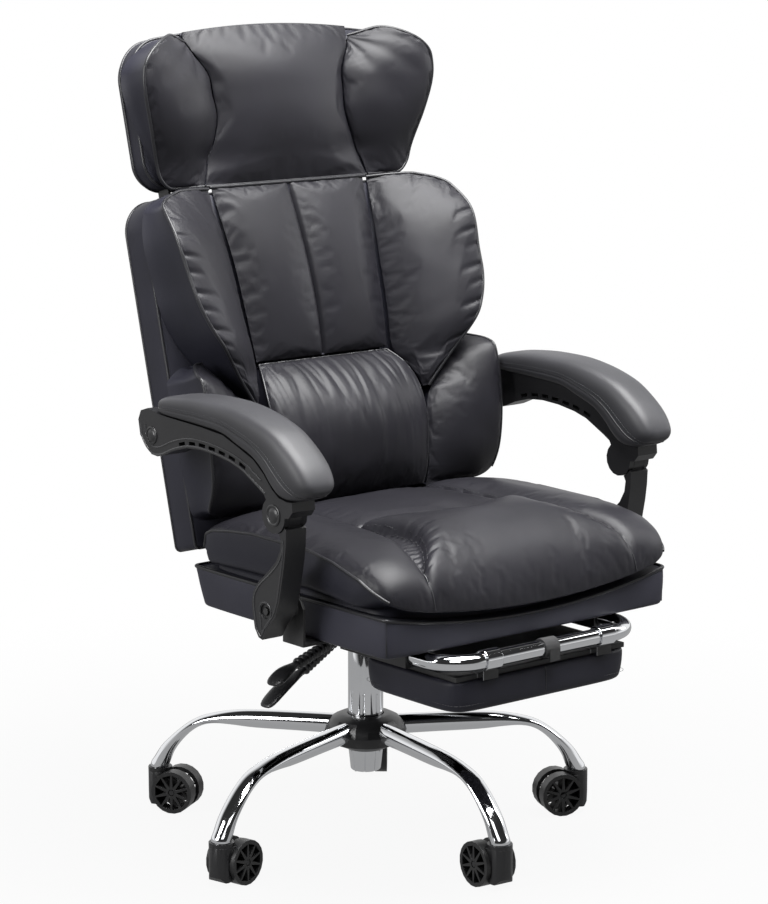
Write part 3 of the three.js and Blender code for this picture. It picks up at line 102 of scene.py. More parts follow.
def through_rows(rows, steps):
    """Rows along a smooth curve through the rows of a table."""
    rows = np.array(rows, float)
    last = len(rows) - 1
    made = []
    for k in range(last):
        p0, p1, p2, p3 = rows[max(k - 1, 0)], rows[k], rows[k + 1], rows[min(k + 2, last)]
        for i in range(steps):
            t = i / steps
            made.append(0.5 * (2 * p1 + (p2 - p0) * t + (2 * p0 - 5 * p1 + 4 * p2 - p3) * t * t
                               + (3 * p1 - p0 - 3 * p2 + p3) * t ** 3))
    made.append(rows[last])
    return np.array(made)


def loft_faces(ring_count, ring_size, close_ends=True):
    faces = []
    for r in range(ring_count - 1):
        for i in range(ring_size):
            a, b = r * ring_size + i, r * ring_size + (i + 1) % ring_size
            faces.append((a, b, b + ring_size, a + ring_size))
    if close_ends:
        faces.append(tuple(range(ring_size)))
        faces.append(tuple(range((ring_count - 1) * ring_size, ring_count * ring_size)))
    return faces


def around(count):
    """Angles spaced evenly round a circle."""
    return np.linspace(0, 2 * math.pi, count, endpoint=False)


def swept_rings(path, sections, up=(0, 0, 1)):
    """Rings of points square to a path, each section a list of (across, up) offsets."""
    path = np.array(path, float)
    rings = []
    for i, place in enumerate(path):
        along = path[min(i + 1, len(path) - 1)] - path[max(i - 1, 0)]
        along /= np.linalg.norm(along)
        across = np.cross(along, up)
        across /= np.linalg.norm(across)
        lift = np.cross(across, along)
        section = sections[i]
        rings.append(place + section[:, :1] * across + section[:, 1:] * lift)
    return rings


leg_count, first_degrees = 5, 40.7
leg_reach, leg_top, leg_size, leg_tip = 0.333, 0.1675, 0.029, 0.064
# Shares along a leg: of its reach, of its top's height, of its full thickness and of its full width.
leg_rows = [
    (0.094, 1, 1, 0.96), (0.3, 0.985, 0.96, 0.965), (0.51, 0.963, 0.9, 0.97), (0.62, 0.938, 0.72, 1),
    (0.71, 0.896, 0.5, 1), (0.775, 0.85, 0.45, 1), (0.835, 0.775, 0.46, 1), (0.895, 0.674, 0.55, 1),
    (0.945, 0.573, 0.7, 1), (0.98, 0.468, 0.84, 1), (0.996, 0.42, 0.88, 1), (1, 0.382, 0.88, 1),
    (1, 0.33, 0.88, 1),
]


def turned_about_swivel(points, degrees):
    a = math.radians(degrees)
    x, y = points[:, 0], points[:, 1]
    turned_x = x * math.cos(a) + y * math.sin(a)
    turned_y = -x * math.sin(a) + y * math.cos(a) + swivel_y
    return np.column_stack([turned_x, turned_y, points[:, 2]])


def leg_mesh(name):
    rows = through_rows(leg_rows, 5)
    path = [(0, r[0] * leg_reach, r[1] * leg_top) for r in rows]
    angles = around(28)
    across, up = np.cos(angles) * leg_size / 2, (np.sin(angles) - 1) * leg_size / 2
    sections = [np.column_stack([across * r[3], up * r[2]]) for r in rows]
    rings = swept_rings(path, sections)
    made = add_mesh(name, np.vstack(rings), loft_faces(len(rings), len(angles)), [chrome], 50)
    work = bmesh.new()
    work.from_mesh(made.data)
    every = list(work.verts) + list(work.edges) + list(work.faces)
    cut = bmesh.ops.bisect_plane(work, geom=every, plane_co=(0, 0, leg_tip), plane_no=(0, 0, -1),
                                 clear_outer=True)
    edges = [e for e in cut["geom_cut"] if isinstance(e, bmesh.types.BMEdge)]
    bmesh.ops.holes_fill(work, edges=edges, sides=0)
    bmesh.ops.recalc_face_normals(work, faces=work.faces)
    work.to_mesh(made.data)
    work.free()
    return made


pattern_leg = leg_mesh("pattern_leg")
leg_points = np.array([v.co[:] for v in pattern_leg.data.vertices])
leg_faces = [tuple(p.vertices) for p in pattern_leg.data.polygons]
bpy.data.objects.remove(pattern_leg)
for k in range(leg_count):
    points = turned_about_swivel(leg_points, first_degrees + 360 / leg_count * k)
    leg = add_mesh(f"leg_{k + 1}", points, leg_faces, [chrome], 50)
    settle(leg, "base", "chrome", f"base_leg_{k + 1}")

# The hub is a steel ring, hidden by a black moulded cover that has a tunnel for each leg. The outer
# column of the gas lift stands in it, chromed, with eight narrow flutes in its lower part.


def grained_plastic(name, colour, low, high):
    parts = plain_finish(name, colour, low)
    uneven_roughness(parts, 90, low, high)
    material, nodes, links, shader = parts
    place = nodes.new("ShaderNodeTexCoord")
    grain = nodes.new("ShaderNodeTexVoronoi")
    grain.inputs["Scale"].default_value = 900
    bump = nodes.new("ShaderNodeBump")
    bump.inputs["Strength"].default_value = 0.08
    bump.inputs["Distance"].default_value = 0.0003
    links.new(place.outputs["Object"], grain.inputs["Vector"])
    links.new(grain.outputs["Distance"], bump.inputs["Height"])
    links.new(bump.outputs["Normal"], shader.inputs["Normal"])
    return material


black_plastic = grained_plastic("black_plastic", (0.0105, 0.0105, 0.0115), 0.3, 0.4)
powder_coat = grained_plastic("black_powder_coat", (0.012, 0.012, 0.0125), 0.45, 0.6)


def smoothed_node(node, name, material, body, slot, bevel=0.0008, sharp=32, segments=2):
    """A copy of a CAD node with its facets merged, its edges rounded and its curves shaded smooth."""
    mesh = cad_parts[node].data.copy()
    work = bmesh.new()
    work.from_mesh(mesh)
    bmesh.ops.remove_doubles(work, verts=work.verts, dist=2e-5)
    bmesh.ops.dissolve_limit(work, angle_limit=math.radians(1), verts=work.verts, edges=work.edges)
    bmesh.ops.recalc_face_normals(work, faces=work.faces)
    work.to_mesh(mesh)
    work.free()
    mesh.materials.clear()
    mesh.materials.append(material)
    made = bpy.data.objects.new(name, mesh)
    scene.collection.objects.link(made)
    mesh.shade_smooth()
    mesh.set_sharp_from_angle(angle=math.radians(sharp))
    if bevel:
        edge = made.modifiers.new("rounded", "BEVEL")
        edge.width = bevel
        edge.segments = segments
        edge.limit_method = "ANGLE"
        edge.angle_limit = math.radians(sharp)
        edge.harden_normals = True
    return settle(made, body, slot, node)


smoothed_node("hub_cover", "hub_cover_moulding", black_plastic, "base", "black_plastic", 0.0006, 38)
smoothed_node("base_hub", "hub_ring", powder_coat, "base", "black_steel", 0.0005)

flute_count, flute_depth, flute_half_angle = 8, 0.0013, math.radians(3.2)
# Radius and height of each ring of the column, and the share of a flute's depth there.
column_rows = [(0.0201, 0.0905, 1), (0.0215, 0.092, 1), (0.025, 0.125, 1), (0.025, 0.203, 1),
               (0.025, 0.206, 0.6), (0.025, 0.209, 0), (0.025, 0.299, 0), (0.0243, 0.3, 0),
               (0.0147, 0.3, 0), (0.0147, 0.2, 0)]


def swivel_ring(radius, z, angles):
    """A ring of points round the lift's axis."""
    x, y = radius * np.cos(angles), radius * np.sin(angles) + swivel_y
    return np.column_stack([x, y, np.full(len(angles), z)])


def fluted_column():
    angles, pitch = around(160), math.pi / flute_count
    away = (angles + pitch) % (2 * pitch) - pitch
    groove = np.exp(-(away / flute_half_angle) ** 4) * flute_depth
    rings = [swivel_ring(radius - groove * share, z, angles) for radius, z, share in column_rows]
    return add_mesh("lift_column_tube", np.vstack(rings), loft_faces(len(rings), len(angles)), [chrome], 40)


settle(fluted_column(), "base", "chrome", "lift_column")

# Twin-wheel casters of black nylon: a hooded fork with its steel stem, and a spoked wheel on each side
# of its web, free on the axle.
wheel_nylon = grained_plastic("wheel_nylon", (0.0095, 0.0095, 0.01), 0.3, 0.42)
for k in range(1, leg_count + 1):
    smoothed_node(f"caster_fork_{k}", f"caster_hood_{k}", black_plastic, f"caster_{k}", "black_plastic",
                  0.0009)
    for side in "ab":
        wheel = f"wheel_{k}{side}"
        smoothed_node(f"caster_{wheel}", wheel, wheel_nylon, wheel, "black_plastic", 0.0005)

# The gas lift's piston slides in the column and carries the tilt mechanism, a pressed steel pan that
# is bolted under the plywood seat board with the brackets of the arms and the backrest.
piston_radius, piston_end_radius, piston_chamfer = 0.014, 0.0134, 0.0005
piston_low, piston_high = 0.116, 0.344
piston_rings = [swivel_ring(radius, z, around(48)) for radius, z in (
    (piston_end_radius, piston_low), (piston_radius, piston_low + piston_chamfer),
    (piston_radius, piston_high - piston_chamfer), (piston_end_radius, piston_high))]
piston = add_mesh("piston_rod", np.vstack(piston_rings), loft_faces(4, 48), [chrome], 40)
settle(piston, "lift", "chrome", "lift_piston")
smoothed_node("tilt_mechanism", "tilt_pan", powder_coat, "seat", "black_steel", 0.0016)

plywood, nodes, links, shader = plain_finish("plywood", (0.36, 0.25, 0.14), 0.65)
place = nodes.new("ShaderNodeTexCoord")
layers = nodes.new("ShaderNodeTexWave")
layers.bands_direction = "Z"
layers.inputs["Scale"].default_value = 110
layers.inputs["Distortion"].default_value = 2.5
layers.inputs["Detail"].default_value = 2
plies = nodes.new("ShaderNodeValToRGB")
plies.color_ramp.elements[0].color = (0.26, 0.17, 0.09, 1)
plies.color_ramp.elements[1].color = (0.45, 0.32, 0.19, 1)
links.new(place.outputs["Object"], layers.inputs["Vector"])
links.new(layers.outputs["Fac"], plies.inputs["Fac"])
links.new(plies.outputs["Color"], shader.inputs["Base Color"])
smoothed_node("seat_board", "plywood_board", plywood, "seat", "plywood", 0.001)
for side in ("left", "right"):
    for node, name in (("recline_bracket_", "recline_plate_"), ("seat_arm_bracket_", "arm_plate_")):
        smoothed_node(node + side, name + side, powder_coat, "seat", "black_steel", 0.0006)
    smoothed_node(f"footrest_guide_{side}", f"guide_block_{side}", black_plastic, "seat", "black_plastic",
                  0.0014)

# Two levers of black plastic: a thin rod out of the mechanism, a ribbed sleeve that bends, and a
# drooping paddle. The nearer one lets the seat up and down and the other one frees the backrest.
lever_routes = {
    "height_lever": [(-0.0498, -0.058, 0.326), (-0.214, -0.115, 0.301), (-0.268, -0.134, 0.286)],
    "recline_lever": [(-0.0498, -0.04, 0.322), (-0.171, -0.075, 0.278), (-0.246, -0.087, 0.242)],
}
rod_width, rod_bevel, sleeve_ribs, paddle_droop = 0.008, 0.0006, 9, 0.0045
# Share of a rib's pitch and its thickness, and share of the paddle's length with its width and depth.
rib_rows = [(0.0, 0.0108), (0.2, 0.0112), (0.36, 0.0158), (0.5, 0.0168), (0.64, 0.0158), (0.8, 0.0112)]
paddle_rows = [(0.02, 0.011, 0.010), (0.08, 0.0125, 0.0085), (0.16, 0.016, 0.0078), (0.28, 0.021, 0.0074),
               (0.42, 0.0248, 0.0072), (0.56, 0.0268, 0.007), (0.7, 0.0274, 0.007), (0.82, 0.0268, 0.0068),
               (0.9, 0.0248, 0.0064), (0.96, 0.0208, 0.0056), (0.99, 0.0158, 0.0044), (1.0, 0.009, 0.0024)]


def lever_mesh(name, root, knee, tip):
    root, knee, tip = (Vector(p) + Vector((0, swivel_y, 0)) for p in (root, knee, tip))
    start = root.lerp(knee, 0.42)
    path, sections = [], []
    angles = around(28)

    def station(point, width, depth, square=1.0):
        path.append(tuple(point))
        ca, sa = np.cos(angles), np.sin(angles)
        sections.append(np.column_stack([np.sign(ca) * abs(ca) ** square * width / 2,
                                         np.sign(sa) * abs(sa) ** square * depth / 2]))

    station(root, rod_width - rod_bevel, rod_width - rod_bevel)
    station(root.lerp(start, 0.03), rod_width, rod_width)
    station(root.lerp(start, 0.97), rod_width, rod_width)
    for k in range(sleeve_ribs):
        for share, size in rib_rows:
            station(start.lerp(knee, (k + share) / sleeve_ribs), size, size)
    for share, width, depth in paddle_rows:
        point = knee.lerp(tip, share)
        point.z += paddle_droop * math.sin(math.pi * share)
        station(point, width, depth, 0.8)
    rings = swept_rings(path, sections)
    faces = loft_faces(len(rings), len(angles))
    return add_mesh(name + "_moulding", np.vstack(rings), faces, [black_plastic], 40)


for name, route in lever_routes.items():
    settle(lever_mesh(name, *route), name + "_arm", "black_plastic", name)

# The seat's boxed border: leatherette over a foam edge, with corners sewn square and a welt round its
# top edge, which sags towards the middle of the front.
seat_half, seat_front, seat_rear, seat_undercut = 0.25, -0.348, 0.07, 0.018
box_bottom, box_top, box_dip = 0.358, 0.4105, 0.026


def leatherette(name, colour, low, high, grain=0.00022, dents=0.0006, gloss=0.2):
    """Smooth black leatherette: a fine grain, soft dents, and gloss that varies from place to place."""
    parts = plain_finish(name, colour, low)
    uneven_roughness(parts, 14, low, high)
    material, nodes, links, shader = parts
    shader.inputs["Specular IOR Level"].default_value = gloss
    place = nodes.new("ShaderNodeTexCoord")
    cells = nodes.new("ShaderNodeTexVoronoi")
    cells.feature = "DISTANCE_TO_EDGE"
    cells.inputs["Scale"].default_value = 620
    fine = nodes.new("ShaderNodeBump")
    fine.inputs["Strength"].default_value = 0.35
    fine.inputs["Distance"].default_value = grain
    cloud = nodes.new("ShaderNodeTexNoise")
    cloud.inputs["Scale"].default_value = 30
    cloud.inputs["Detail"].default_value = 2
    soft = nodes.new("ShaderNodeBump")
    soft.inputs["Strength"].default_value = 0.5
    soft.inputs["Distance"].default_value = dents
    links.new(place.outputs["Object"], cells.inputs["Vector"])
    links.new(place.outputs["Object"], cloud.inputs["Vector"])
    links.new(cells.outputs["Distance"], fine.inputs["Height"])
    links.new(cloud.outputs["Fac"], soft.inputs["Height"])
    links.new(soft.outputs["Normal"], fine.inputs["Normal"])
    links.new(fine.outputs["Normal"], shader.inputs["Normal"])
    tint = nodes.new("ShaderNodeTexNoise")
    tint.inputs["Scale"].default_value = 9
    shades = nodes.new("ShaderNodeValToRGB")
    shades.color_ramp.elements[0].position = 0.35
    shades.color_ramp.elements[1].position = 0.7
    shades.color_ramp.elements[0].color = (*[c * 0.86 for c in colour], 1)
    shades.color_ramp.elements[1].color = (*[c * 1.14 for c in colour], 1)
    links.new(place.outputs["Object"], tint.inputs["Vector"])
    links.new(tint.outputs["Fac"], shades.inputs["Fac"])
    links.new(shades.outputs["Color"], shader.inputs["Base Color"])
    return material


face_leather = leatherette("face_leatherette", (0.0098, 0.0095, 0.0122), 0.38, 0.48, gloss=0.22)
border_leather = leatherette("border_leatherette", (0.0150, 0.0150, 0.0215), 0.42, 0.52)
# Painted light: the seat box gets its own lighter copy of the border leatherette, so its sides and front read
# brighter than the shade they lie in.
painted_light_box_leather = leatherette("painted_light_box_leatherette", (0.028, 0.028, 0.038), 0.42, 0.52)
welt_leather = leatherette("welt_leatherette", (0.012, 0.012, 0.014), 0.3, 0.38, 0.0001, 0.0001, 0.4)
thread = plain_finish("black_thread", (0.03, 0.03, 0.034), 0.5)[0]


def welt(name, path, body, radius=0.0022, closed=False, slot="leather", material=None):
    """A sewn welt: a round cord under leatherette along a seam. A moulded bead is made the same way."""
    data = bpy.data.curves.new(name, "CURVE")
    data.dimensions = "3D"
    data.bevel_depth = radius
    data.bevel_resolution = 3
    data.use_fill_caps = True
    line = data.splines.new("POLY")
    line.points.add(len(path) - 1)
    for point, (x, y, z) in zip(line.points, path):
        point.co = (x, y, z, 1)
    line.use_cyclic_u = closed
    shape = bpy.data.objects.new(name + "_line", data)
    scene.collection.objects.link(shape)
    mesh = bpy.data.meshes.new_from_object(shape.evaluated_get(bpy.context.evaluated_depsgraph_get()))
    bpy.data.objects.remove(shape)
    mesh.materials.clear()
    mesh.materials.append(material or welt_leather)
    mesh.shade_smooth()
    made = bpy.data.objects.new(name, mesh)
    scene.collection.objects.link(made)
    return settle(made, body, slot)


def bead_tree():
    """Geometry Nodes: a bead on every step of a line, stretched along it. It makes stitches."""
    tree = bpy.data.node_groups.new("beads_along_lines", "GeometryNodeTree")
    face = tree.interface
    face.new_socket("Geometry", in_out="INPUT", socket_type="NodeSocketGeometry")
    sockets = {}
    for name in ("Spacing", "Width", "Length", "Material"):
        kind = "NodeSocketMaterial" if name == "Material" else "NodeSocketFloat"
        sockets[name] = face.new_socket(name, in_out="INPUT", socket_type=kind).identifier
    face.new_socket("Geometry", in_out="OUTPUT", socket_type="NodeSocketGeometry")
    add = tree.nodes.new
    source, result = add("NodeGroupInput"), add("NodeGroupOutput")
    curve, steps = add("GeometryNodeMeshToCurve"), add("GeometryNodeResampleCurve")
    steps.mode = "LENGTH"
    bead = add("GeometryNodeMeshUVSphere")
    bead.inputs["Segments"].default_value = 8
    bead.inputs["Rings"].default_value = 6
    bead.inputs["Radius"].default_value = 1
    tangent, turned = add("GeometryNodeInputTangent"), add("FunctionNodeAlignRotationToVector")
    turned.axis = "Z"
    size = add("ShaderNodeCombineXYZ")
    copies, plain = add("GeometryNodeInstanceOnPoints"), add("GeometryNodeRealizeInstances")
    shade, painted = add("GeometryNodeSetShadeSmooth"), add("GeometryNodeSetMaterial")
    wires = [(source, "Geometry", curve, "Mesh"), (curve, "Curve", steps, "Curve"),
             (source, "Spacing", steps, "Length"),
             (steps, "Curve", copies, "Points"), (bead, "Mesh", copies, "Instance"),
             (tangent, "Tangent", turned, "Vector"), (turned, "Rotation", copies, "Rotation"),
             (source, "Width", size, "X"), (source, "Width", size, "Y"), (source, "Length", size, "Z"),
             (size, "Vector", copies, "Scale"), (copies, "Instances", plain, "Geometry"),
             (plain, "Geometry", shade, "Geometry"), (shade, "Geometry", painted, "Geometry"),
             (source, "Material", painted, "Material"), (painted, "Geometry", result, "Geometry")]
    for start, out, end, into in wires:
        tree.links.new(start.outputs[out], end.inputs[into])
    return tree, sockets


bead_group, bead_sockets = bead_tree()


def beaded(name, lines, body, slot, spacing, width, length, material):
    """One mesh of beads along lines of points, made by the node tree."""
    points = [tuple(p) for line in lines for p in line]
    edges, first = [], 0
    for line in lines:
        edges += [(first + i, first + i + 1) for i in range(len(line) - 1)]
        first += len(line)
    mesh = bpy.data.meshes.new(name)
    mesh.from_pydata(points, edges, [])
    made = bpy.data.objects.new(name, mesh)
    scene.collection.objects.link(made)
    maker = made.modifiers.new("beads", "NODES")
    maker.node_group = bead_group
    for key, value in (("Spacing", spacing), ("Width", width), ("Length", length), ("Material", material)):
        maker[bead_sockets[key]] = value
    shape = bpy.data.meshes.new_from_object(made.evaluated_get(bpy.context.evaluated_depsgraph_get()))
    made.modifiers.clear()
    made.data = shape
    return settle(made, body, slot)


stitch_spacing, stitch_width, stitch_length = 0.0046, 0.00042, 0.0017


def stitches(name, lines, body):
    return beaded(name, lines, body, "leather", stitch_spacing, stitch_width, stitch_length, thread)


cloth_steps, cloth_reach = 15, 0.0045


def blown_up(name, sheet, slack, outward, seams=None):
    """The sheet as cloth with air behind it: held at its rim and its seams, a little loose between them."""
    rows, columns = sheet.shape[0], sheet.shape[1]
    points = sheet.reshape(-1, 3)
    faces = [(j * columns + i, j * columns + i + 1, (j + 1) * columns + i + 1, (j + 1) * columns + i)
             for j in range(rows - 1) for i in range(columns - 1)]
    middle = points[faces[len(faces) // 2], :]
    if np.dot(np.cross(middle[1] - middle[0], middle[2] - middle[0]), outward) < 0:
        faces = [tuple(reversed(f)) for f in faces]
    mesh = bpy.data.meshes.new(name + "_cloth")
    mesh.from_pydata([tuple(p) for p in points], [], faces)
    hung = bpy.data.objects.new(name + "_cloth", mesh)
    scene.collection.objects.link(hung)
    held = np.zeros((rows, columns)) if seams is None else np.array(seams, float)
    held[0, :] = held[-1, :] = held[:, 0] = held[:, -1] = 1
    held = np.clip(held, 0.05, 1).reshape(-1)
    group = hung.vertex_groups.new(name="held")
    levels = 20
    for level in range(1, levels + 1):
        chosen = np.nonzero(np.round(held * levels) == level)[0]
        if len(chosen):
            group.add([int(k) for k in chosen], level / levels, "REPLACE")
    cloth = hung.modifiers.new("cloth", "CLOTH")
    settings = cloth.settings
    settings.quality = 4
    settings.mass = 0.3
    settings.tension_stiffness = settings.compression_stiffness = 12
    settings.shear_stiffness = 4
    settings.bending_stiffness = 0.15
    settings.air_damping = 2
    settings.vertex_group_mass = "held"
    settings.shrink_min = -slack
    settings.use_pressure = True
    settings.uniform_pressure_force = 3
    settings.effector_weights.gravity = 0
    cloth.collision_settings.use_collision = False
    cloth.point_cache.frame_start, cloth.point_cache.frame_end = 1, cloth_steps
    for step in range(1, cloth_steps + 1):
        scene.frame_set(step)
    shaped = hung.evaluated_get(bpy.context.evaluated_depsgraph_get()).to_mesh()
    after = np.empty(len(points) * 3)
    shaped.vertices.foreach_get("co", after)
    moved = after.reshape(-1, 3) - points
    bpy.data.objects.remove(hung)
    bpy.data.meshes.remove(mesh)
    scene.frame_set(1)
    far = np.linalg.norm(moved, axis=1, keepdims=True)
    moved *= np.minimum(1, cloth_reach / np.maximum(far, 1e-9))
    return (points + moved).reshape(sheet.shape)


def plan_point(u, v, half_width, front, rear, bow, front_corner, rear_corner):
    """A square of shares laid out as a plan with bowed sides and rounded corners."""
    a, b = 2 * u - 1, 2 * v - 1
    deep = (rear - front) / 2
    corner = np.where(b < 0, front_corner, rear_corner)
    cut = 0.29 * corner * abs(a) ** (half_width / (0.58 * corner)) * abs(b) ** (deep / (0.58 * corner))
    x = a * half_width * np.sqrt(1 - bow * b ** 4 * abs(a)) - np.sign(a) * cut
    y = (front + rear) / 2 + b * deep * np.sqrt(1 - bow * a ** 4 * abs(b)) - np.sign(b) * cut
    return x, y


def box_top_at(x, y):
    across = np.maximum(0, 1 - (x / seat_half) ** 2)
    share = np.clip((y - seat_rear) / (seat_front - seat_rear), 0, 1)
    return box_top - box_dip * across * share ** 3


def rim_walk(columns, rows):
    """Grid places round the rim of a sheet: bottom, outer, top and inner edge in turn."""
    walk = [(i, 0) for i in range(columns)] + [(columns, j) for j in range(rows)]
    return walk + [(i, rows) for i in range(columns, 0, -1)] + [(0, j) for j in range(rows, 0, -1)]


def sewn_body(name, front, rear, columns, rows, wall, materials, sharp=None):
    """A closed cushion: a front and a rear sheet over grids of points, joined by a wall. The wall is a list
    of (share of the way back, outward offset), where the offset may differ along the rim."""
    walk = rim_walk(columns, rows)
    grid_size = (columns + 1) * (rows + 1)
    at = lambda i, j: j * (columns + 1) + i
    points = [front.reshape(-1, 3), rear.reshape(-1, 3)]
    faces, kinds = [], []
    for j in range(rows):
        for i in range(columns):
            faces.append((at(i, j), at(i + 1, j), at(i + 1, j + 1), at(i, j + 1)))
            kinds.append(0)
            turned = (at(i, j), at(i, j + 1), at(i + 1, j + 1), at(i + 1, j))
            faces.append(tuple(grid_size + k for k in turned))
            kinds.append(1)
    front_rim = np.array([front[j, i] for i, j in walk])
    rear_rim = np.array([rear[j, i] for i, j in walk])
    away = (np.roll(front_rim, -1, axis=0) - np.roll(front_rim, 1, axis=0))
    depth = rear_rim - front_rim
    outward = np.cross(away, depth)
    outward /= np.maximum(np.linalg.norm(outward, axis=1, keepdims=True), 1e-9)
    middle = (front_rim.mean(axis=0) + rear_rim.mean(axis=0)) / 2
    if np.median(np.einsum("ij,ij->i", (front_rim + rear_rim) / 2 - middle, outward)) < 0:
        outward = -outward
    size = len(walk)
    ring_ids = [[at(i, j) for i, j in walk]]
    count = 2 * grid_size
    for share, offset in wall:
        ring = front_rim + depth * share + outward * np.reshape(offset, (-1, 1))
        points.append(ring)
        ring_ids.append(list(range(count, count + size)))
        count += size
    ring_ids.append([grid_size + at(i, j) for i, j in walk])
    for low, high in zip(ring_ids, ring_ids[1:]):
        for i in range(size):
            faces.append((low[i], low[(i + 1) % size], high[(i + 1) % size], high[i]))
            kinds.append(1)
    made = add_mesh(name, np.vstack(points), faces, materials)
    if len(materials) > 1:
        for polygon, kind in zip(made.data.polygons, kinds):
            polygon.material_index = kind
    if sharp:
        made.data.set_sharp_from_angle(angle=math.radians(sharp))
    edges = {"bottom": front_rim[:columns + 1], "outer": front_rim[columns:columns + rows + 1],
             "top": front_rim[columns + rows:2 * columns + rows + 1],
             "inner": np.vstack([front_rim[2 * columns + rows:], front_rim[:1]])}
    return made, front_rim, edges


def eased(count):
    return (1 - np.cos(np.linspace(0, math.pi, count + 1))) / 2


def seat_box_mesh():
    columns, rows = 60, 48
    u, v = np.meshgrid(eased(columns), eased(rows))
    x, y = plan_point(u, v, seat_half, seat_front, seat_rear, 0.02, 0.006, 0.006)
    top = np.dstack([x, y + swivel_y, box_top_at(x, y)])
    x, y = plan_point(u, v, seat_half - 0.005, seat_front + 0.005, seat_rear - seat_undercut - 0.004, 0.02,
                      0.008, 0.008)
    foot = np.dstack([x, y + swivel_y, np.full_like(x, box_bottom)])
    corners = np.array([top[j, i] for i, j in rim_walk(columns, rows)])
    along = np.cumsum(np.linalg.norm(np.diff(corners, axis=0, prepend=0), axis=1))
    waves = 0.5 + 0.5 * np.sin(along * 31 + 1.3 * np.sin(along * 13))
    puff = []
    for w in (0.04, 0.12, 0.25, 0.4, 0.55, 0.7, 0.82, 0.9, 0.95, 0.985):
        rounding = 0.005 * (1 - math.sqrt(max(0, 1 - max(0, (w - 0.9) / 0.1) ** 2)))
        puff.append((w, 0.005 * w - rounding + (0.0012 + 0.0014 * waves) * math.sin(math.pi * w) ** 0.6))
    # The border takes the lighter copy of the leatherette, which is painted light.
    made, rim, _ = sewn_body("seat_border", top, foot, columns, rows, puff, [painted_light_box_leather], 60)
    settle(made, "seat", "border_leather", "seat_box")
    welt("seat_border_top_welt", rim, "seat", 0.0026, True)
    for name, i, j in (("a", 0, 0), ("b", columns, 0), ("c", columns, rows), ("d", 0, rows)):
        inward = np.array([0.9, 0.15 if j else 0.9, 0.08])
        low, high = foot[j, i] + (top[j, i] - foot[j, i]) * inward, top[j, i]
        shares = np.linspace(0, 1, 9)[:, None]
        welt(f"seat_border_seam_{name}", high + (low - high) * shares, "seat", 0.0009)


seat_box_mesh()

# The seat cushion: leatherette over thick foam. A full roll across the front, pleated into a sunken gusset
# at each rear corner, a flat panel behind it, and a padded band along each side with a welt on its edge.
cushion_half, cushion_rear, cushion_front = 0.259, 0.054, -0.362
cushion_top, side_welt_top, crown, roll_rise = 0.481, 0.481, 0.012, 0.016
swept_y, swept_z, swept_rounding = 0.0353, 0.4505, 0.004
# The side welt's height as a share of the full height, by the share of the way from rear to front; the
# seams in plan; and the gusset's width by the share of its length.
welt_rows = np.array([(0, 0.4), (0.034, 0.7), (0.1, 0.85), (0.19, 0.93), (0.32, 1), (0.61, 0.98),
                      (0.73, 0.87), (0.86, 0.66), (0.93, 0.45), (1, 0.22)])
side_seam = np.array([(0.120, 0.054), (0.127, -0.02), (0.133, -0.08), (0.139, -0.152), (0.142, -0.19),
                      (0.155, -0.25), (0.168, -0.295), (0.176, -0.335), (0.180, -0.37)])
cross_seam = np.array([(-0.139, -0.152), (-0.12, -0.153), (-0.08, -0.168), (-0.04, -0.179), (0, -0.184),
                       (0.04, -0.179), (0.08, -0.168), (0.12, -0.153), (0.139, -0.152)])
gusset_rear, gusset_front = -0.152, -0.338
gusset_rows = np.array([(0, 0), (0.15, 0.009), (0.29, 0.017), (0.51, 0.029), (0.65, 0.030), (0.78, 0.025),
                        (0.9, 0.014), (1, 0)])


def seam_distance(x, y, seam):
    """Distance from points to a seam line, and how far along the seam its nearest point lies."""
    best = np.full(x.shape, 9.0)
    along = np.zeros(x.shape)
    walked = 0.0
    for (x0, y0), (x1, y1) in zip(seam, seam[1:]):
        dx, dy = x1 - x0, y1 - y0
        length = math.hypot(dx, dy)
        t = np.clip(((x - x0) * dx + (y - y0) * dy) / length ** 2, 0, 1)
        d = np.hypot(x - x0 - t * dx, y - y0 - t * dy)
        nearer = d < best
        best = np.where(nearer, d, best)
        along = np.where(nearer, walked + t * length, along)
        walked += length
    return best, along


def noise_field(points, scale, seed=0.0):
    flat = points.reshape(-1, 3) * scale
    values = [noise.noise(Vector((p[0] + seed, p[1] - seed, p[2]))) for p in flat]
    return np.array(values).reshape(points.shape[:-1])


def smooth_step(x, low, high):
    t = np.clip((x - low) / (high - low), 0, 1)
    return t * t * (3 - 2 * t)


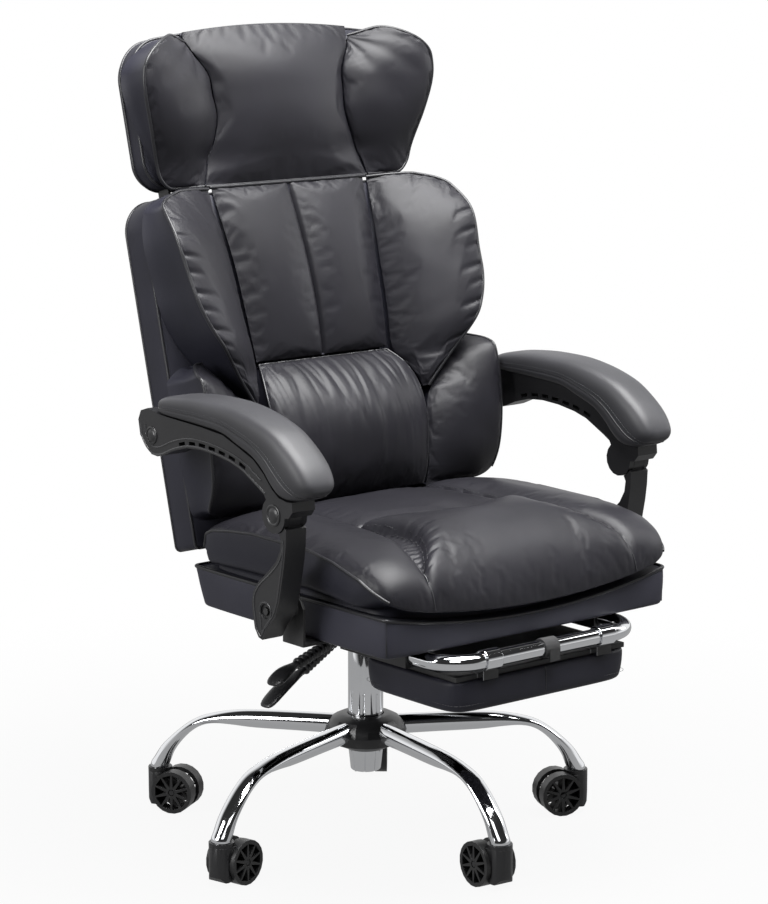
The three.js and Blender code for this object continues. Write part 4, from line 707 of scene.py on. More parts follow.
def seat_cushion_mesh():
    columns, rows = 190, 170
    u, v = np.meshgrid(eased(columns), eased(rows))
    x, y = plan_point(u, v, cushion_half, cushion_front, cushion_rear, 0.02, 0.045, 0.03)
    a, b = abs(2 * u - 1), 2 * v - 1
    edge = np.sqrt(1 - a ** 8) * np.sqrt(1 - np.maximum(0, b) ** 3.5)
    nose = np.sqrt(1 - np.maximum(0, -b) ** 6)
    place = (cushion_rear - y) / (cushion_rear - cushion_front)
    rim = box_top + (side_welt_top - box_top) * np.interp(place, welt_rows[:, 0], welt_rows[:, 1])
    side_gap, side_run = seam_distance(abs(x), y, through_rows(side_seam, 6))
    cross_gap, _ = seam_distance(x, y, through_rows(cross_seam, 6))
    inside = abs(x) < np.interp(-y, -side_seam[:, 1], side_seam[:, 0])
    in_roll = inside & (y < np.interp(x, cross_seam[:, 0], cross_seam[:, 1])) & (y < -0.14)
    share = (gusset_rear - y) / (gusset_rear - gusset_front)
    width = np.where(inside, np.interp(share, gusset_rows[:, 0], gusset_rows[:, 1]), 0)
    past = side_gap - width
    in_gusset = inside & (past < 0)
    in_roll &= ~in_gusset
    in_rear = inside & ~in_roll & ~in_gusset
    full_roll = roll_rise * (1 - np.exp(-cross_gap / 0.018)) * (1 - np.exp(-abs(past) / 0.009))
    rise = np.where(in_roll, full_roll, 0)
    rise += np.where(in_rear, 0.002 * (1 - np.exp(-np.minimum(cross_gap, side_gap) / 0.01)) - 0.004, 0)
    rise += np.where(~inside, 0.006 * (1 - np.exp(-side_gap / 0.014)), 0)
    rise -= np.where(in_gusset, 0.0095 * (1 - np.exp(-np.minimum(side_gap + 0.001, -past) / 0.0035)), 0)
    rise += crown * (1 - a ** 2)
    rise -= 0.005 * np.exp(-(side_gap / 0.007) ** 2) + 0.003 * np.exp(-(side_gap / 0.002) ** 2)
    crossing = np.where(abs(x) < 0.14, 1.0, 0.0)
    rise -= crossing * (0.0035 * np.exp(-(cross_gap / 0.006) ** 2)
                        + 0.002 * np.exp(-(cross_gap / 0.002) ** 2))
    away = np.maximum(past, 0)
    waver = noise_field(np.dstack([x * 30, y * 30, np.zeros_like(x)]), 1.0, 6.0)
    swing = np.sin((side_run + 0.3 * away + 0.004 * waver) * 2 * math.pi / 0.0215 + np.sign(x))
    strong = (smooth_step(side_run, 0.25, 0.32) * (1 - smooth_step(side_run, 0.39, 0.42))
              * (0.75 + 0.5 * waver))
    pleat = np.maximum(0, swing) ** 2 * np.exp(-away / 0.014) * (1 - np.exp(-away / 0.0015)) * strong
    rise -= np.where(in_roll, 0.0062 * pleat, 0)
    small = np.sin((side_run + 0.004 * waver) * 2 * math.pi / 0.011)
    rise -= np.where(in_gusset, 0.0012 * small, 0)
    rise += 0.0014 * noise_field(np.dstack([x * 7, y * 4, np.zeros_like(x)]), 3.0)
    z = rim + (cushion_top - rim) * edge * nose + rise * edge * nose
    z -= box_dip * smooth_step(1 - 2 * v, 0.5, 1) * np.maximum(0, 1 - (x / seat_half) ** 2)
    z = np.maximum(z, box_top_at(x, y) + 0.0175)
    # The reclined backrest's shell passes above this line. Only the welt on its edge still meets the cover.
    swept = swept_z + np.where(y > swept_y, 1.0, 3.0) * (swept_y - y)
    z = (z + swept - np.sqrt((z - swept) ** 2 + swept_rounding ** 2)) / 2
    top = np.dstack([x, y + swivel_y, z])
    sewn_down = np.maximum(np.exp(-(np.minimum(side_gap, abs(past)) / 0.006) ** 2),
                           crossing * np.exp(-(cross_gap / 0.006) ** 2))
    top = blown_up("seat", top, 0.0035, (0, 0, 1), sewn_down)
    under_x, under_y = x * 0.92, y + 0.03 * smooth_step(-b, 0.2, 1) - 0.006 * smooth_step(b, 0.5, 1)
    under = np.dstack([under_x, under_y + swivel_y, box_top_at(under_x, under_y) + 0.0012])
    tall = np.array([top[j, i, 2] - under[j, i, 2] for i, j in rim_walk(columns, rows)])
    tall = smooth_step(tall, 0.02, 0.05)
    sides = [(0.05, 0.002, 0.0008), (0.15, 0.0052, 0), (0.3, 0.0092, -0.003), (0.45, 0.0122, -0.006),
             (0.6, 0.0132, -0.0085), (0.7, 0.0116, -0.009), (0.77, 0.0068, -0.009), (0.82, -0.001, -0.008),
             (0.88, -0.0045, -0.006), (0.95, -0.0025, -0.003)]
    wall = [(way, full * tall + tucked * (1 - tall)) for way, full, tucked in sides]
    made, _, edges = sewn_body("seat_cushion_cover", top, under, columns, rows, wall,
                               [face_leather, border_leather], 75)
    settle(made, "seat", "leather", "seat_cushion")
    for side, line in (("left", edges["outer"]), ("right", edges["inner"])):
        welt(f"seat_welt_{side}", line, "seat", 0.0022)
    flat = top.reshape(-1, 3)
    ground = flat[:, :2]
    lines = []
    for sign in (1, -1):
        for way in (0.0028, -0.0028):
            shares = np.linspace(0.06, 0.97, 60)
            widths = np.interp(shares, gusset_rows[:, 0], gusset_rows[:, 1]) + way
            ys = gusset_rear + (gusset_front - gusset_rear) * shares
            xs = np.interp(-ys, -side_seam[:, 1], side_seam[:, 0]) - widths
            lines.append(on_sheet(ground, flat, sign * xs, ys + swivel_y))
        ys = np.linspace(0.03, -0.145, 60)
        xs = np.interp(-ys, -side_seam[:, 1], side_seam[:, 0]) + 0.004
        lines.append(on_sheet(ground, flat, sign * xs, ys + swivel_y))
    stitches("seat_stitches", lines, "seat")
    xs = np.linspace(-0.136, 0.136, 90)
    route = on_sheet(ground, flat, xs, np.interp(xs, cross_seam[:, 0], cross_seam[:, 1]) + swivel_y)
    welt("seat_cross_seam", route, "seat", 0.0011)
    for side, sign in (("left", 1), ("right", -1)):
        ys = np.linspace(0.03, -0.362, 110)
        xs = sign * np.interp(-ys, -side_seam[:, 1], side_seam[:, 0])
        welt(f"seat_side_seam_{side}", on_sheet(ground, flat, xs, ys + swivel_y), "seat", 0.0011)


def on_sheet(ground, flat, xs, ys):
    """Points on a sheet over places in the plan, each from the sheet's nearest grid points."""
    placed = []
    for px, py in zip(xs, ys):
        near = np.argsort((ground[:, 0] - px) ** 2 + (ground[:, 1] - py) ** 2)[:4]
        placed.append((px, py, float(flat[near, 2].mean())))
    return placed


seat_cushion_mesh()

# The armrests: a bent post and an arched frame of satin black nylon, ribbed under the arch, with a
# padded top whose leatherette is sewn to a side band along a seam.
pad_middle, pad_width = 0.3005, 0.064
frame_rear, frame_length, frame_low, frame_height = 0.088, 0.34, 0.512, 0.13
pad_rows = [
    (0.109, 0.985, 0.109, 1.023, 0.28), (0.124, 0.954, 0.124, 1.073, 0.6), (0.156, 0.938, 0.156, 1.115, 0.84),
    (0.212, 0.931, 0.212, 1.15, 0.98), (0.288, 0.923, 0.291, 1.177, 1), (0.415, 0.908, 0.418, 1.2, 1),
    (0.562, 0.877, 0.576, 1.196, 1), (0.659, 0.792, 0.691, 1.162, 1), (0.756, 0.7, 0.8, 1.1, 1),
    (0.818, 0.585, 0.9, 1.008, 1), (0.871, 0.446, 0.994, 0.854, 1), (0.912, 0.377, 1.053, 0.715, 0.97),
    (0.965, 0.354, 1.088, 0.577, 0.85), (1.018, 0.369, 1.094, 0.492, 0.6), (1.059, 0.408, 1.085, 0.446, 0.28),
]


# Painted light: the arm pads' leatherette has a lighter base colour than the rest, standing in for the light
# that falls on their upturned tops.
painted_light_pad_leather = leatherette("painted_light_pad_leatherette", (0.023, 0.023, 0.026), 0.44, 0.54, gloss=0.4)
# Painted highlight: the beads' plastic is lighter than the black mouldings they stand on, so they read as
# thin lines of light.
painted_highlight_bead_plastic = grained_plastic("painted_highlight_bead_plastic", (0.03, 0.03, 0.032), 0.2, 0.28)


def arm_pad_mesh(side, sign):
    rows = through_rows(pad_rows, 6)
    count, drop = 64, 0.24
    angles = around(count)
    rings, seam_lines = [], ([], [])
    for low_y, low_z, high_y, high_z, width in rows:
        low = np.array([0, frame_rear - low_y * frame_length, frame_low + low_z * frame_height + 0.0003])
        high = np.array([0, frame_rear - high_y * frame_length, frame_low + high_z * frame_height])
        half, middle = (high - low) / 2, (high + low) / 2
        across = np.sign(np.cos(angles)) * abs(np.cos(angles)) ** 0.5
        sine = np.sin(angles)
        up = np.where(sine < 0, -abs(sine) ** 0.6, abs(sine) ** 0.62)
        groove = 1 - 0.03 * np.exp(-((up + drop) / 0.07) ** 2)
        ring = middle + up[:, None] * half
        ring[:, 0] += across * groove * width * pad_width / 2
        rings.append(ring)
        for line, way in zip(seam_lines, (1, -1)):
            point = middle - drop * half
            point[0] += way * 0.965 * width * pad_width / 2
            line.append(point)
    points = np.vstack(rings)
    points[:, 0] = sign * (points[:, 0] + pad_middle)
    points[:, 1] += swivel_y
    # The cover takes the lighter pad leatherette, which is painted light.
    made = add_mesh(f"arm_pad_cover_{side}", points, loft_faces(len(rings), count), [painted_light_pad_leather])
    settle(made, f"armrest_{side}", "leather", f"arm_pad_{side}")
    path = np.array(seam_lines[0] + seam_lines[1][::-1])
    path[:, 0] = sign * (path[:, 0] + pad_middle)
    path[:, 1] += swivel_y
    welt(f"arm_pad_seam_{side}", path, f"armrest_{side}", 0.0009, True)
    column = lambda k: np.array([ring[k] for ring in rings]) * [sign, 1, 1] + [sign * pad_middle, swivel_y, 0]
    stitches(f"arm_pad_stitches_{side}", [column(0), column(count // 2)], f"armrest_{side}")


# The arch's edge in shares of the arm frame's length and height, and the post's edge in shares of its span.
arch_rows = [(0.824, 0.369), (0.788, 0.423), (0.741, 0.485), (0.682, 0.562), (0.609, 0.615), (0.512, 0.654),
             (0.415, 0.669), (0.326, 0.654), (0.238, 0.592), (0.174, 0.523), (0.129, 0.492), (0.088, 0.5),
             (0.045, 0.57), (0.016, 0.677), (0.012, 0.8)]
post_rows = [(-0.26, 0.771), (-0.244, 0.656), (-0.176, 0.534), (-0.046, 0.412), (0.115, 0.282),
             (0.198, 0.168), (0.221, 0.061), (0.206, -0.053), (0.176, -0.198), (0.115, -0.282),
             (0.053, -0.298), (-0.038, -0.16), (-0.153, -0.038), (-0.221, 0.122), (-0.26, 0.29),
             (-0.313, 0.55), (-0.336, 0.718)]
post_low_y, post_low_z, post_span = -0.19, 0.405, 0.131
drop_radius, drop_tip, drop_shoulder = 0.0125, (0.008, -0.029), (-0.006, -0.016)


def moulded_bead(name, outline, inset, face, sign, body, radius):
    """A raised bead on a moulding's outer face, along an outline of (y, z) points set in by a distance."""
    along = np.gradient(outline, axis=0)
    along /= np.linalg.norm(along, axis=1, keepdims=True)
    line = outline + np.column_stack([-along[:, 1], along[:, 0]]) * inset
    path = np.column_stack([np.full(len(line), sign * face), line[:, 0] + swivel_y, line[:, 1]])
    # The bead is given the lighter plastic, which is a painted highlight.
    welt(name, path, body, radius, False, "black_plastic", painted_highlight_bead_plastic)


# Share of a pivot cap's radius, and how far it stands off the face there.
cap_rows = [(1, -0.001), (1, 0.0009), (0.94, 0.0016), (0.8, 0.0016), (0.74, 0.0006), (0.68, 0.0006),
            (0.62, 0.0014), (0.3, 0.0019), (0.04, 0.002)]


def pivot_cap(name, y, z, face, sign, body, radius):
    """A round cap with concentric rings over a pivot's pin."""
    angles = around(48)
    rings = []
    for share, height in cap_rows:
        ring_y = y + swivel_y + radius * share * np.cos(angles)
        ring_z = z + radius * share * np.sin(angles)
        rings.append(np.column_stack([np.full(len(angles), sign * (face + height)), ring_y, ring_z]))
    made = add_mesh(name, np.vstack(rings), loft_faces(len(rings), len(angles)), [black_plastic], 50)
    settle(made, body, "black_plastic")


def outer_face(node):
    return max(abs(v.co.x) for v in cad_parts[node].data.vertices)


for side, sign in (("left", 1), ("right", -1)):
    armrest, post_body = f"armrest_{side}", f"post_{side}"
    smoothed_node(f"arm_post_{side}", f"arm_post_moulding_{side}", black_plastic, post_body, "black_plastic",
                  0.0022, 24, 3)
    smoothed_node(f"arm_frame_{side}", f"arm_frame_moulding_{side}", black_plastic, armrest, "black_plastic",
                  0.002, 24, 3)
    arm_pad_mesh(side, sign)
    face = outer_face(f"arm_frame_{side}")
    arch = through_rows(arch_rows, 6)
    arch = np.column_stack([frame_rear - arch[:, 0] * frame_length, frame_low + arch[:, 1] * frame_height])
    moulded_bead(f"arch_bead_{side}", arch, 0.0024, face - 0.0006, sign, armrest, 0.0016)
    moulded_bead(f"arch_line_{side}", arch[6:], 0.0125, face, sign, armrest, 0.0011)
    pivot_cap(f"front_pivot_cap_{side}", -0.211, 0.536, face, sign, armrest, 0.0145)
    pivot_cap(f"rear_pivot_cap_{side}", 0.057, 0.603, face, sign, armrest, 0.0125)
    face = outer_face(f"arm_post_{side}")
    post = through_rows(post_rows, 5) * post_span + np.array([post_low_y, post_low_z])
    moulded_bead(f"post_bead_{side}", post, -0.0045, face, sign, post_body, 0.0012)
    turns = np.radians(np.linspace(-30, 205, 24))
    drop = drop_radius * np.column_stack([np.cos(turns), np.sin(turns)])
    drop = np.vstack([[drop_tip], drop, [drop_shoulder, drop_tip]]) + [post_low_y, post_low_z]
    moulded_bead(f"post_drop_{side}", drop, 0, face, sign, post_body, 0.001)

# The backrest: a steel ladder frame inside a padded shell, whose rear and borders are leatherette.
# Its own frame leans back: x across, y rearwards from the rear face, z up along the back.
lean, back_y, back_z = math.radians(14.4), 0.1 + swivel_y, 0.425
back_half, back_height, back_thickness, wing_depth, cushion_share = 0.256, 0.486, 0.05, 0.147, 0.253


def leaned(points):
    points = np.asarray(points, float)
    x, y, z = points[..., 0], points[..., 1], points[..., 2]
    return np.stack([x, back_y + y * math.cos(lean) + z * math.sin(lean),
                     back_z - y * math.sin(lean) + z * math.cos(lean)], axis=-1)


def shell_outline(inset, half, bottom, top, arch, top_corner, bottom_corner, steps=12, straight=14):
    ring = []
    corners = []
    for sx, sz, quarter in ((1, 1, 0), (-1, 1, 1), (-1, -1, 2), (1, -1, 3)):
        r = max((top_corner if sz > 0 else bottom_corner) - inset, 0.001)
        cx = sx * (half - inset - r)
        cz = top - inset - r if sz > 0 else bottom + inset + r
        corner = []
        for i in range(steps + 1):
            angle = math.pi / 2 * (quarter + i / steps)
            corner.append((cx + r * math.cos(angle), cz + r * math.sin(angle), sz > 0))
        corners.append(corner)
    for k, corner in enumerate(corners):
        ring += corner
        (x0, z0, up0), (x1, z1, up1) = corner[-1], corners[(k + 1) % 4][0]
        ring += [(x0 + (x1 - x0) * i / straight, z0 + (z1 - z0) * i / straight, up0 and up1)
                 for i in range(1, straight)]
    rise = lambda x, z: arch * (1 - (x / half) ** 2) * smooth_step(np.array(z), (bottom + top) / 2, top)
    return np.array([(x, z + float(rise(x, z))) for x, z, _ in ring])


def shell_mesh(name, node, layers, outline, slot="border_leather"):
    rings = []
    for inset, y in layers:
        ring = outline(inset)
        rings.append(leaned(np.column_stack([ring[:, 0], np.full(len(ring), y), ring[:, 1]])))
    made = add_mesh(name, np.vstack(rings), loft_faces(len(rings), len(rings[0])), [border_leather], 50)
    settle(made, "backrest", slot, node)
    return made, rings


smoothed_node("back_frame", "back_ladder_frame", powder_coat, "backrest", "black_steel", 0.0006)
# How far each ring of a shell is set in from its outline, and where it lies from front to rear.
shell_layers = [(0.004, -0.05), (0.001, -0.0475), (0, -0.045), (0, -0.005), (0.001, -0.0015),
                (0.0035, 0.0006), (0.012, 0.0022), (0.03, 0.0042), (0.06, 0.0058), (0.085, 0.0068)]
back_outline = lambda inset: shell_outline(inset, back_half, 0, back_height, 0, 0.046, 0.008)
_, shell_rings = shell_mesh("back_shell_cover", "back_shell", shell_layers, back_outline)
welt("back_rear_welt", shell_rings[4], "backrest", 0.0021, True, "border_leather")
welt("back_front_welt", shell_rings[1], "backrest", 0.0021, True, "border_leather")

# The backrest's cushions: a centre panel with a sewn groove, a lumbar roll, two deep wings and two
# bolsters, each leatherette over foam and sewn to the next, with welts on their free edges.

# Each row of an edge line: its height as a share of the shell's, its place across as a share of the
# cushions' half width, and how far it stands forward as a share of the wings' depth.
panel_rows = [(0.49, 0.47, 0.463), (0.638, 0.49, 0.463), (0.8, 0.506, 0.43), (1, 0.54, 0.345)]
lumbar_rows = [(0.074, 0.474, 0.645), (0.144, 0.506, 0.715), (0.267, 0.534, 0.76), (0.37, 0.54, 0.71),
               (0.442, 0.51, 0.61), (0.49, 0.462, 0.47)]
wing_inner_rows = [(0.36, 0.585, 0.66), (0.4, 0.56, 0.64), (0.442, 0.535, 0.57), (0.494, 0.49, 0.47),
                   (0.638, 0.505, 0.465), (0.8, 0.52, 0.435), (1, 0.555, 0.352)]
wing_outer_rows = [(0.36, 0.61, 0.68), (0.383, 0.636, 0.714), (0.457, 0.755, 0.83), (0.541, 0.885, 0.986),
                   (0.599, 0.953, 1), (0.669, 1, 0.98), (0.749, 1.02, 0.939), (0.872, 1.043, 0.878),
                   (0.963, 1.008, 0.667), (1, 0.95, 0.58)]
bolster_inner_rows = [(0.06, 0.5, 0.6), (0.144, 0.53, 0.66), (0.267, 0.558, 0.68), (0.34, 0.605, 0.66),
                      (0.377, 0.66, 0.66), (0.45, 0.78, 0.64), (0.51, 0.872, 0.58)]
bolster_outer_rows = [(0.06, 0.97, 0.5), (0.103, 1.01, 0.64), (0.173, 1.02, 0.79), (0.292, 1.035, 0.884),
                      (0.436, 1.035, 0.925), (0.477, 1.03, 0.84), (0.51, 0.985, 0.62)]


def edge_line(rows, sign=1, offset=0.0):
    smooth = through_rows(rows, 8)
    heights = smooth[:, 0] * back_height
    return (lambda z: sign * (np.interp(z, heights, smooth[:, 1]) * cushion_share + offset),
            lambda z: -np.interp(z, heights, smooth[:, 2]) * wing_depth)


blown_sheets = {}


def round_corner(u, start, drop):
    """How far an edge has come down towards a rounded corner at u = 1."""
    t = np.clip((u - start) / (1 - start), 0, 1)
    return drop * (1 - np.sqrt(1 - t ** 2))


def puckers(along, away, places, reach, width, slant=0.0):
    """Short wedge-shaped creases that start at a seam: 1 in their middle, 0 between them."""
    total = np.zeros_like(along)
    for place, share in places:
        at = (along - place - slant * away) / (width * (0.6 + 0.8 * away / reach))
        total = np.maximum(total, share * np.exp(-at ** 2) * np.clip(1 - away / (reach * share), 0, 1))
    return total


def back_cushion(name, node, inner, outer, bottom, top, base, bulge, columns, rows, folds=None, draw_in=0.004,
                 body="backrest", mirror=False, slack=0.008):
    """A cushion between an inner and an outer edge line, on the shell's front."""
    u, w = np.meshgrid(eased(columns), eased(rows))
    z = bottom(u) + (top(u) - bottom(u)) * w
    x = inner[0](z) + (outer[0](z) - inner[0](z)) * u
    y = inner[1](z) + (outer[1](z) - inner[1](z)) * u
    swell = bulge(u, w)
    if folds is not None:
        swell = swell + folds(u, w, x, z)
    front = np.stack([x, y - swell, z], axis=-1)
    key = node.replace("_right", "_left")
    if key not in blown_sheets:
        held = np.exp(-(x / 0.005) ** 2) if node == "back_center" else None
        blown_sheets[key] = blown_up(key, front, slack, (0, -1, 0), held)
    front = blown_sheets[key].copy()
    rear = np.stack([x, np.full_like(x, base), z], axis=-1)
    if mirror:
        front[..., 0] *= -1
        rear[..., 0] *= -1
    wall = [(s, -draw_in * math.sin(math.pi * s) ** 0.7) for s in (0.03, 0.1, 0.22, 0.38, 0.55, 0.72, 0.88)]
    made, rim, edges = sewn_body(name, leaned(front), leaned(rear), columns, rows, wall,
                                 [face_leather, border_leather], 60)
    settle(made, body, "leather", node)
    return made, rim, edges


def arched(height, power=0.5):
    return lambda u, w: height * (np.sin(math.pi * u) * np.sin(math.pi * w)) ** power


shell_front = -back_thickness - 0.0004
piece_gap = 0.0016


def panel_folds(u, w, x, z):
    groove = -0.005 * np.exp(-(x / 0.0036) ** 2) - 0.003 * np.exp(-(x / 0.0013) ** 2)
    return groove * np.sin(math.pi * w) ** 0.12 + 0.0014 * noise_field(np.dstack([x * 10, z * 5, x * 0]), 1.0)


def panel_bulge(u, w):
    across = 0.4 * abs(np.sin(2 * math.pi * u)) ** 0.5 + 0.6 * np.sin(math.pi * u) ** 0.5
    return 0.013 * across * np.sin(math.pi * w) ** 0.35


_, _, panel_edges = back_cushion(
    "back_panel_cover", "back_center", edge_line(panel_rows, -1, -piece_gap),
    edge_line(panel_rows, 1, -piece_gap), lambda u: 0.2426, lambda u: 0.4925, shell_front, panel_bulge, 130,
    80, panel_folds, slack=0.006)
line = panel_edges["top"]
outwards = (line[0] - line[-1]) / np.linalg.norm(line[0] - line[-1])
line = np.vstack([line[0] + outwards * 0.004, line, line[-1] - outwards * 0.004])
welt("back_panel_welt", line + [0, 0, 0.001], "backrest", 0.0026)


def lumbar_folds(u, w, x, z):
    """Creases that run down from the top seam, and sharper valleys between some of them."""
    bent = x + 0.004 * noise_field(np.dstack([x * 14, z * 16, x * 0]), 1.0, 2.0)
    crease = noise_field(np.dstack([bent * 62, z * 6, x * 0]), 1.0, 4.0)
    fine = noise_field(np.dstack([bent * 120, z * 11, x * 0]), 1.0, 9.0)
    valley = np.exp(-(noise_field(np.dstack([bent * 48, z * 5, x * 0]), 1.0, 14.0) / 0.1) ** 2)
    top = 0.3 + 0.7 * smooth_step(w, 0.15, 0.75)
    return (0.003 * crease + 0.001 * fine - 0.0016 * valley) * top * np.sin(math.pi * u) ** 0.25


_, _, lumbar_edges = back_cushion(
    "lumbar_cover", "lumbar_cushion", edge_line(lumbar_rows, -1, -piece_gap),
    edge_line(lumbar_rows, 1, -piece_gap), lambda u: 0.04 + 0 * u, lambda u: 0.2385 + 0 * u, shell_front,
    arched(0.022, 0.45), 150, 90, lumbar_folds, slack=0.011)
welt("lumbar_welt_top", lumbar_edges["top"], "backrest", 0.0015)
for side, line in (("left", lumbar_edges["outer"]), ("right", lumbar_edges["inner"])):
    welt(f"lumbar_welt_{side}", line, "backrest", 0.0016)


wing_puckers = [(0.452, 0.6), (0.424, 0.8), (0.395, 1), (0.371, 0.7), (0.342, 1), (0.318, 0.8), (0.29, 1),
                (0.268, 0.7), (0.243, 0.9), (0.222, 0.6)]
bolster_puckers = [(0.236, 0.7), (0.221, 1), (0.203, 0.8), (0.186, 0.5)]


def wing_folds(u, w, x, z):
    away = (1 - u) * 0.11
    outer = puckers(z, away, wing_puckers, 0.034, 0.0036, -0.25)
    cloud = noise_field(np.dstack([x * 14, z * 14, x * 0]), 1.0, 2.0)
    long = noise_field(np.dstack([x * 30, z * 8, x * 0]), 1.0, 8.0)
    return (-0.0038 * outer * (1 - np.exp(-(1 - u) / 0.02))
            + (0.0022 * cloud + 0.0012 * long * (1 - w)) * np.sin(math.pi * u) ** 0.5)


def bolster_folds(u, w, x, z):
    inner = puckers(z, u * 0.09, bolster_puckers, 0.038, 0.0045, -0.5)
    crease = noise_field(np.dstack([x * 50, z * 12, x * 0]), 1.0, 5.0)
    cloud = noise_field(np.dstack([x * 16, z * 16, x * 0]), 1.0, 7.0)
    return (-0.0045 * inner * (1 - np.exp(-u / 0.02)) + (0.002 * crease * w + 0.0022 * cloud)
            * np.sin(math.pi * u) ** 0.5)


for side, mirror in (("left", False), ("right", True)):
    _, _, edges = back_cushion(
        f"back_wing_cover_{side}", f"back_wing_{side}", edge_line(wing_inner_rows, 1, piece_gap),
        edge_line(wing_outer_rows), lambda u: 0.178 + 0 * u,
        lambda u: 0.4915 - 0.006 * u ** 2 - round_corner(u, 0.62, 0.022), shell_front,
        arched(0.018, 0.5), 80, 130, wing_folds, 0.006, mirror=mirror)
    welt(f"back_wing_welt_{side}", np.vstack([edges["outer"], edges["top"][1:]]), "backrest", 0.0024)
    _, _, edges = back_cushion(
        f"back_bolster_cover_{side}", f"back_bolster_{side}", edge_line(bolster_inner_rows, 1, piece_gap),
        edge_line(bolster_outer_rows), lambda u: 0.037 + round_corner(u, 0.8, 0.012),
        lambda u: 0.249 - round_corner(u, 0.3, 0.02), shell_front,
        arched(0.015, 0.5), 64, 100, bolster_folds, 0.005, mirror=mirror)
    welt(f"back_bolster_welt_{side}", np.vstack([edges["outer"], edges["top"][1:]]), "backrest", 0.0022)

# The headrest: its own padded shell on the steel frame, with a full centre cushion and two wings that
# reach forward, sewn together along gathered seams.
head_half, head_bottom, head_top, head_arch, head_thickness = 0.238, 0.497, 0.7, 0.019, 0.046
seam_rows = [(1.01, 0.58, 0.345), (1.09, 0.53, 0.34), (1.15, 0.484, 0.39), (1.215, 0.452, 0.42),
             (1.275, 0.46, 0.428), (1.337, 0.472, 0.435), (1.4, 0.54, 0.41), (1.45, 0.58, 0.36)]
head_outer_rows = [(1.01, 0.86, 0.345), (1.09, 0.895, 0.4), (1.193, 0.96, 0.565), (1.275, 1.004, 0.667),
                   (1.337, 1.008, 0.714), (1.4, 0.968, 0.748), (1.45, 0.88, 0.74)]
head_layers = [(0.004, -0.046), (0.001, -0.0435), (0, -0.041), (0, -0.02), (0.003, -0.01), (0.01, 0),
               (0.03, 0.0035), (0.055, 0.0055), (0.079, 0.0068)]
head_outline = lambda inset: shell_outline(inset, head_half, head_bottom, head_top, head_arch, 0.05, 0.04)
_, head_rings = shell_mesh("headrest_shell_cover", "headrest_shell", head_layers, head_outline)
welt("headrest_rear_welt", head_rings[3], "backrest", 0.0021, True, "border_leather")
welt("headrest_front_welt", head_rings[1], "backrest", 0.0021, True, "border_leather")
head_front, head_foot = -head_thickness - 0.0004, 0.4955


def head_folds(u, w, x, z):
    return 0.0012 * noise_field(np.dstack([x * 9, z * 7, x * 0]), 1.0, 12.0) * np.sin(math.pi * w)


_, _, head_edges = back_cushion(
    "headrest_center_cover", "headrest_center", edge_line(seam_rows, -1, -piece_gap),
    edge_line(seam_rows, 1, -piece_gap), lambda u: head_foot + 0 * u,
    lambda u: 0.7125 + 0.0085 * (1 - (2 * u - 1) ** 2), head_front, arched(0.019, 0.55), 90, 90, head_folds,
    slack=0.004)
welt("headrest_foot_welt", head_edges["bottom"], "backrest", 0.002)


def head_wing_folds(u, w, x, z):
    """Folds that fan out from the seam's upper end, and a soft unevenness."""
    across, down = u * 0.1, (1 - w) * 0.19
    reach = np.hypot(across, down)
    fan = np.cos(np.arctan2(down, across + 0.004) * 15)
    fan *= np.exp(-reach / 0.055) * (1 - np.exp(-reach / 0.012))
    cloud = noise_field(np.dstack([x * 14, z * 14, x * 0]), 1.0, 15.0)
    return (0.0026 * fan + 0.002 * cloud) * np.sin(math.pi * u) ** 0.4


for side, mirror in (("left", False), ("right", True)):
    _, _, edges = back_cushion(
        f"headrest_wing_cover_{side}", f"headrest_wing_{side}", edge_line(seam_rows, 1, piece_gap),
        edge_line(head_outer_rows), lambda u: head_foot + round_corner(u, 0.72, 0.024),
        lambda u: 0.6985 + 0.006 * np.sin(math.pi * u ** 1.2) - round_corner(u, 0.4, 0.042), head_front,
        arched(0.017, 0.5), 64, 100, head_wing_folds, 0.006, mirror=mirror)
    welt(f"headrest_wing_welt_{side}", np.vstack([edges["bottom"], edges["outer"][1:], edges["top"][1:]]),
         "backrest", 0.0024)

# The footrest: a chromed tube loop that slides in two guides, and a pad on a steel board that flips
# over on the loop's front bar, with a short webbing band round the bar.
tube_radius, tube_bevel, tube_z, bar_y, tube_rear = 0.011, 0.0008, 0.343, -0.379, 0.026
half_spread, bend_radius, clip_foot = 0.168, 0.05, 0.3245


def footrest_loop():
    route = [(half_spread, tube_rear, tube_z), (half_spread, tube_rear - 0.001, tube_z)]
    for sign, start in ((1, 0), (-1, 1)):
        for i in range(17):
            angle = math.pi / 2 * (start + i / 16)
            route.append((sign * (half_spread - bend_radius) + bend_radius * math.cos(angle),
                          bar_y + bend_radius - bend_radius * math.sin(angle), tube_z))
    route += [(-half_spread, tube_rear - 0.001, tube_z), (-half_spread, tube_rear, tube_z)]
    route = np.array(route) + np.array([0, swivel_y, 0])
    angles = around(32)
    circle = np.column_stack([np.cos(angles), np.sin(angles)])
    radii = np.full(len(route), tube_radius)
    radii[[0, -1]] -= tube_bevel
    rings = swept_rings(route, [circle * radius for radius in radii])
    made = add_mesh("footrest_loop_tube", np.vstack(rings), loft_faces(len(rings), len(angles)), [chrome], 50)
    settle(made, "footrest_loop", "chrome", "footrest_tube")


footrest_loop()
clip_board = smoothed_node("footrest_board", "footrest_clip_board", powder_coat, "footrest_pad",
                           "black_steel", 0.0007)
clip_board.data.materials.append(chrome)
for polygon in clip_board.data.polygons:
    if polygon.center.z > clip_foot:
        polygon.material_index = 1
pad_half, pad_front, pad_rear, pad_top, pad_bottom = 0.156, -0.376, -0.18, 0.317, 0.271


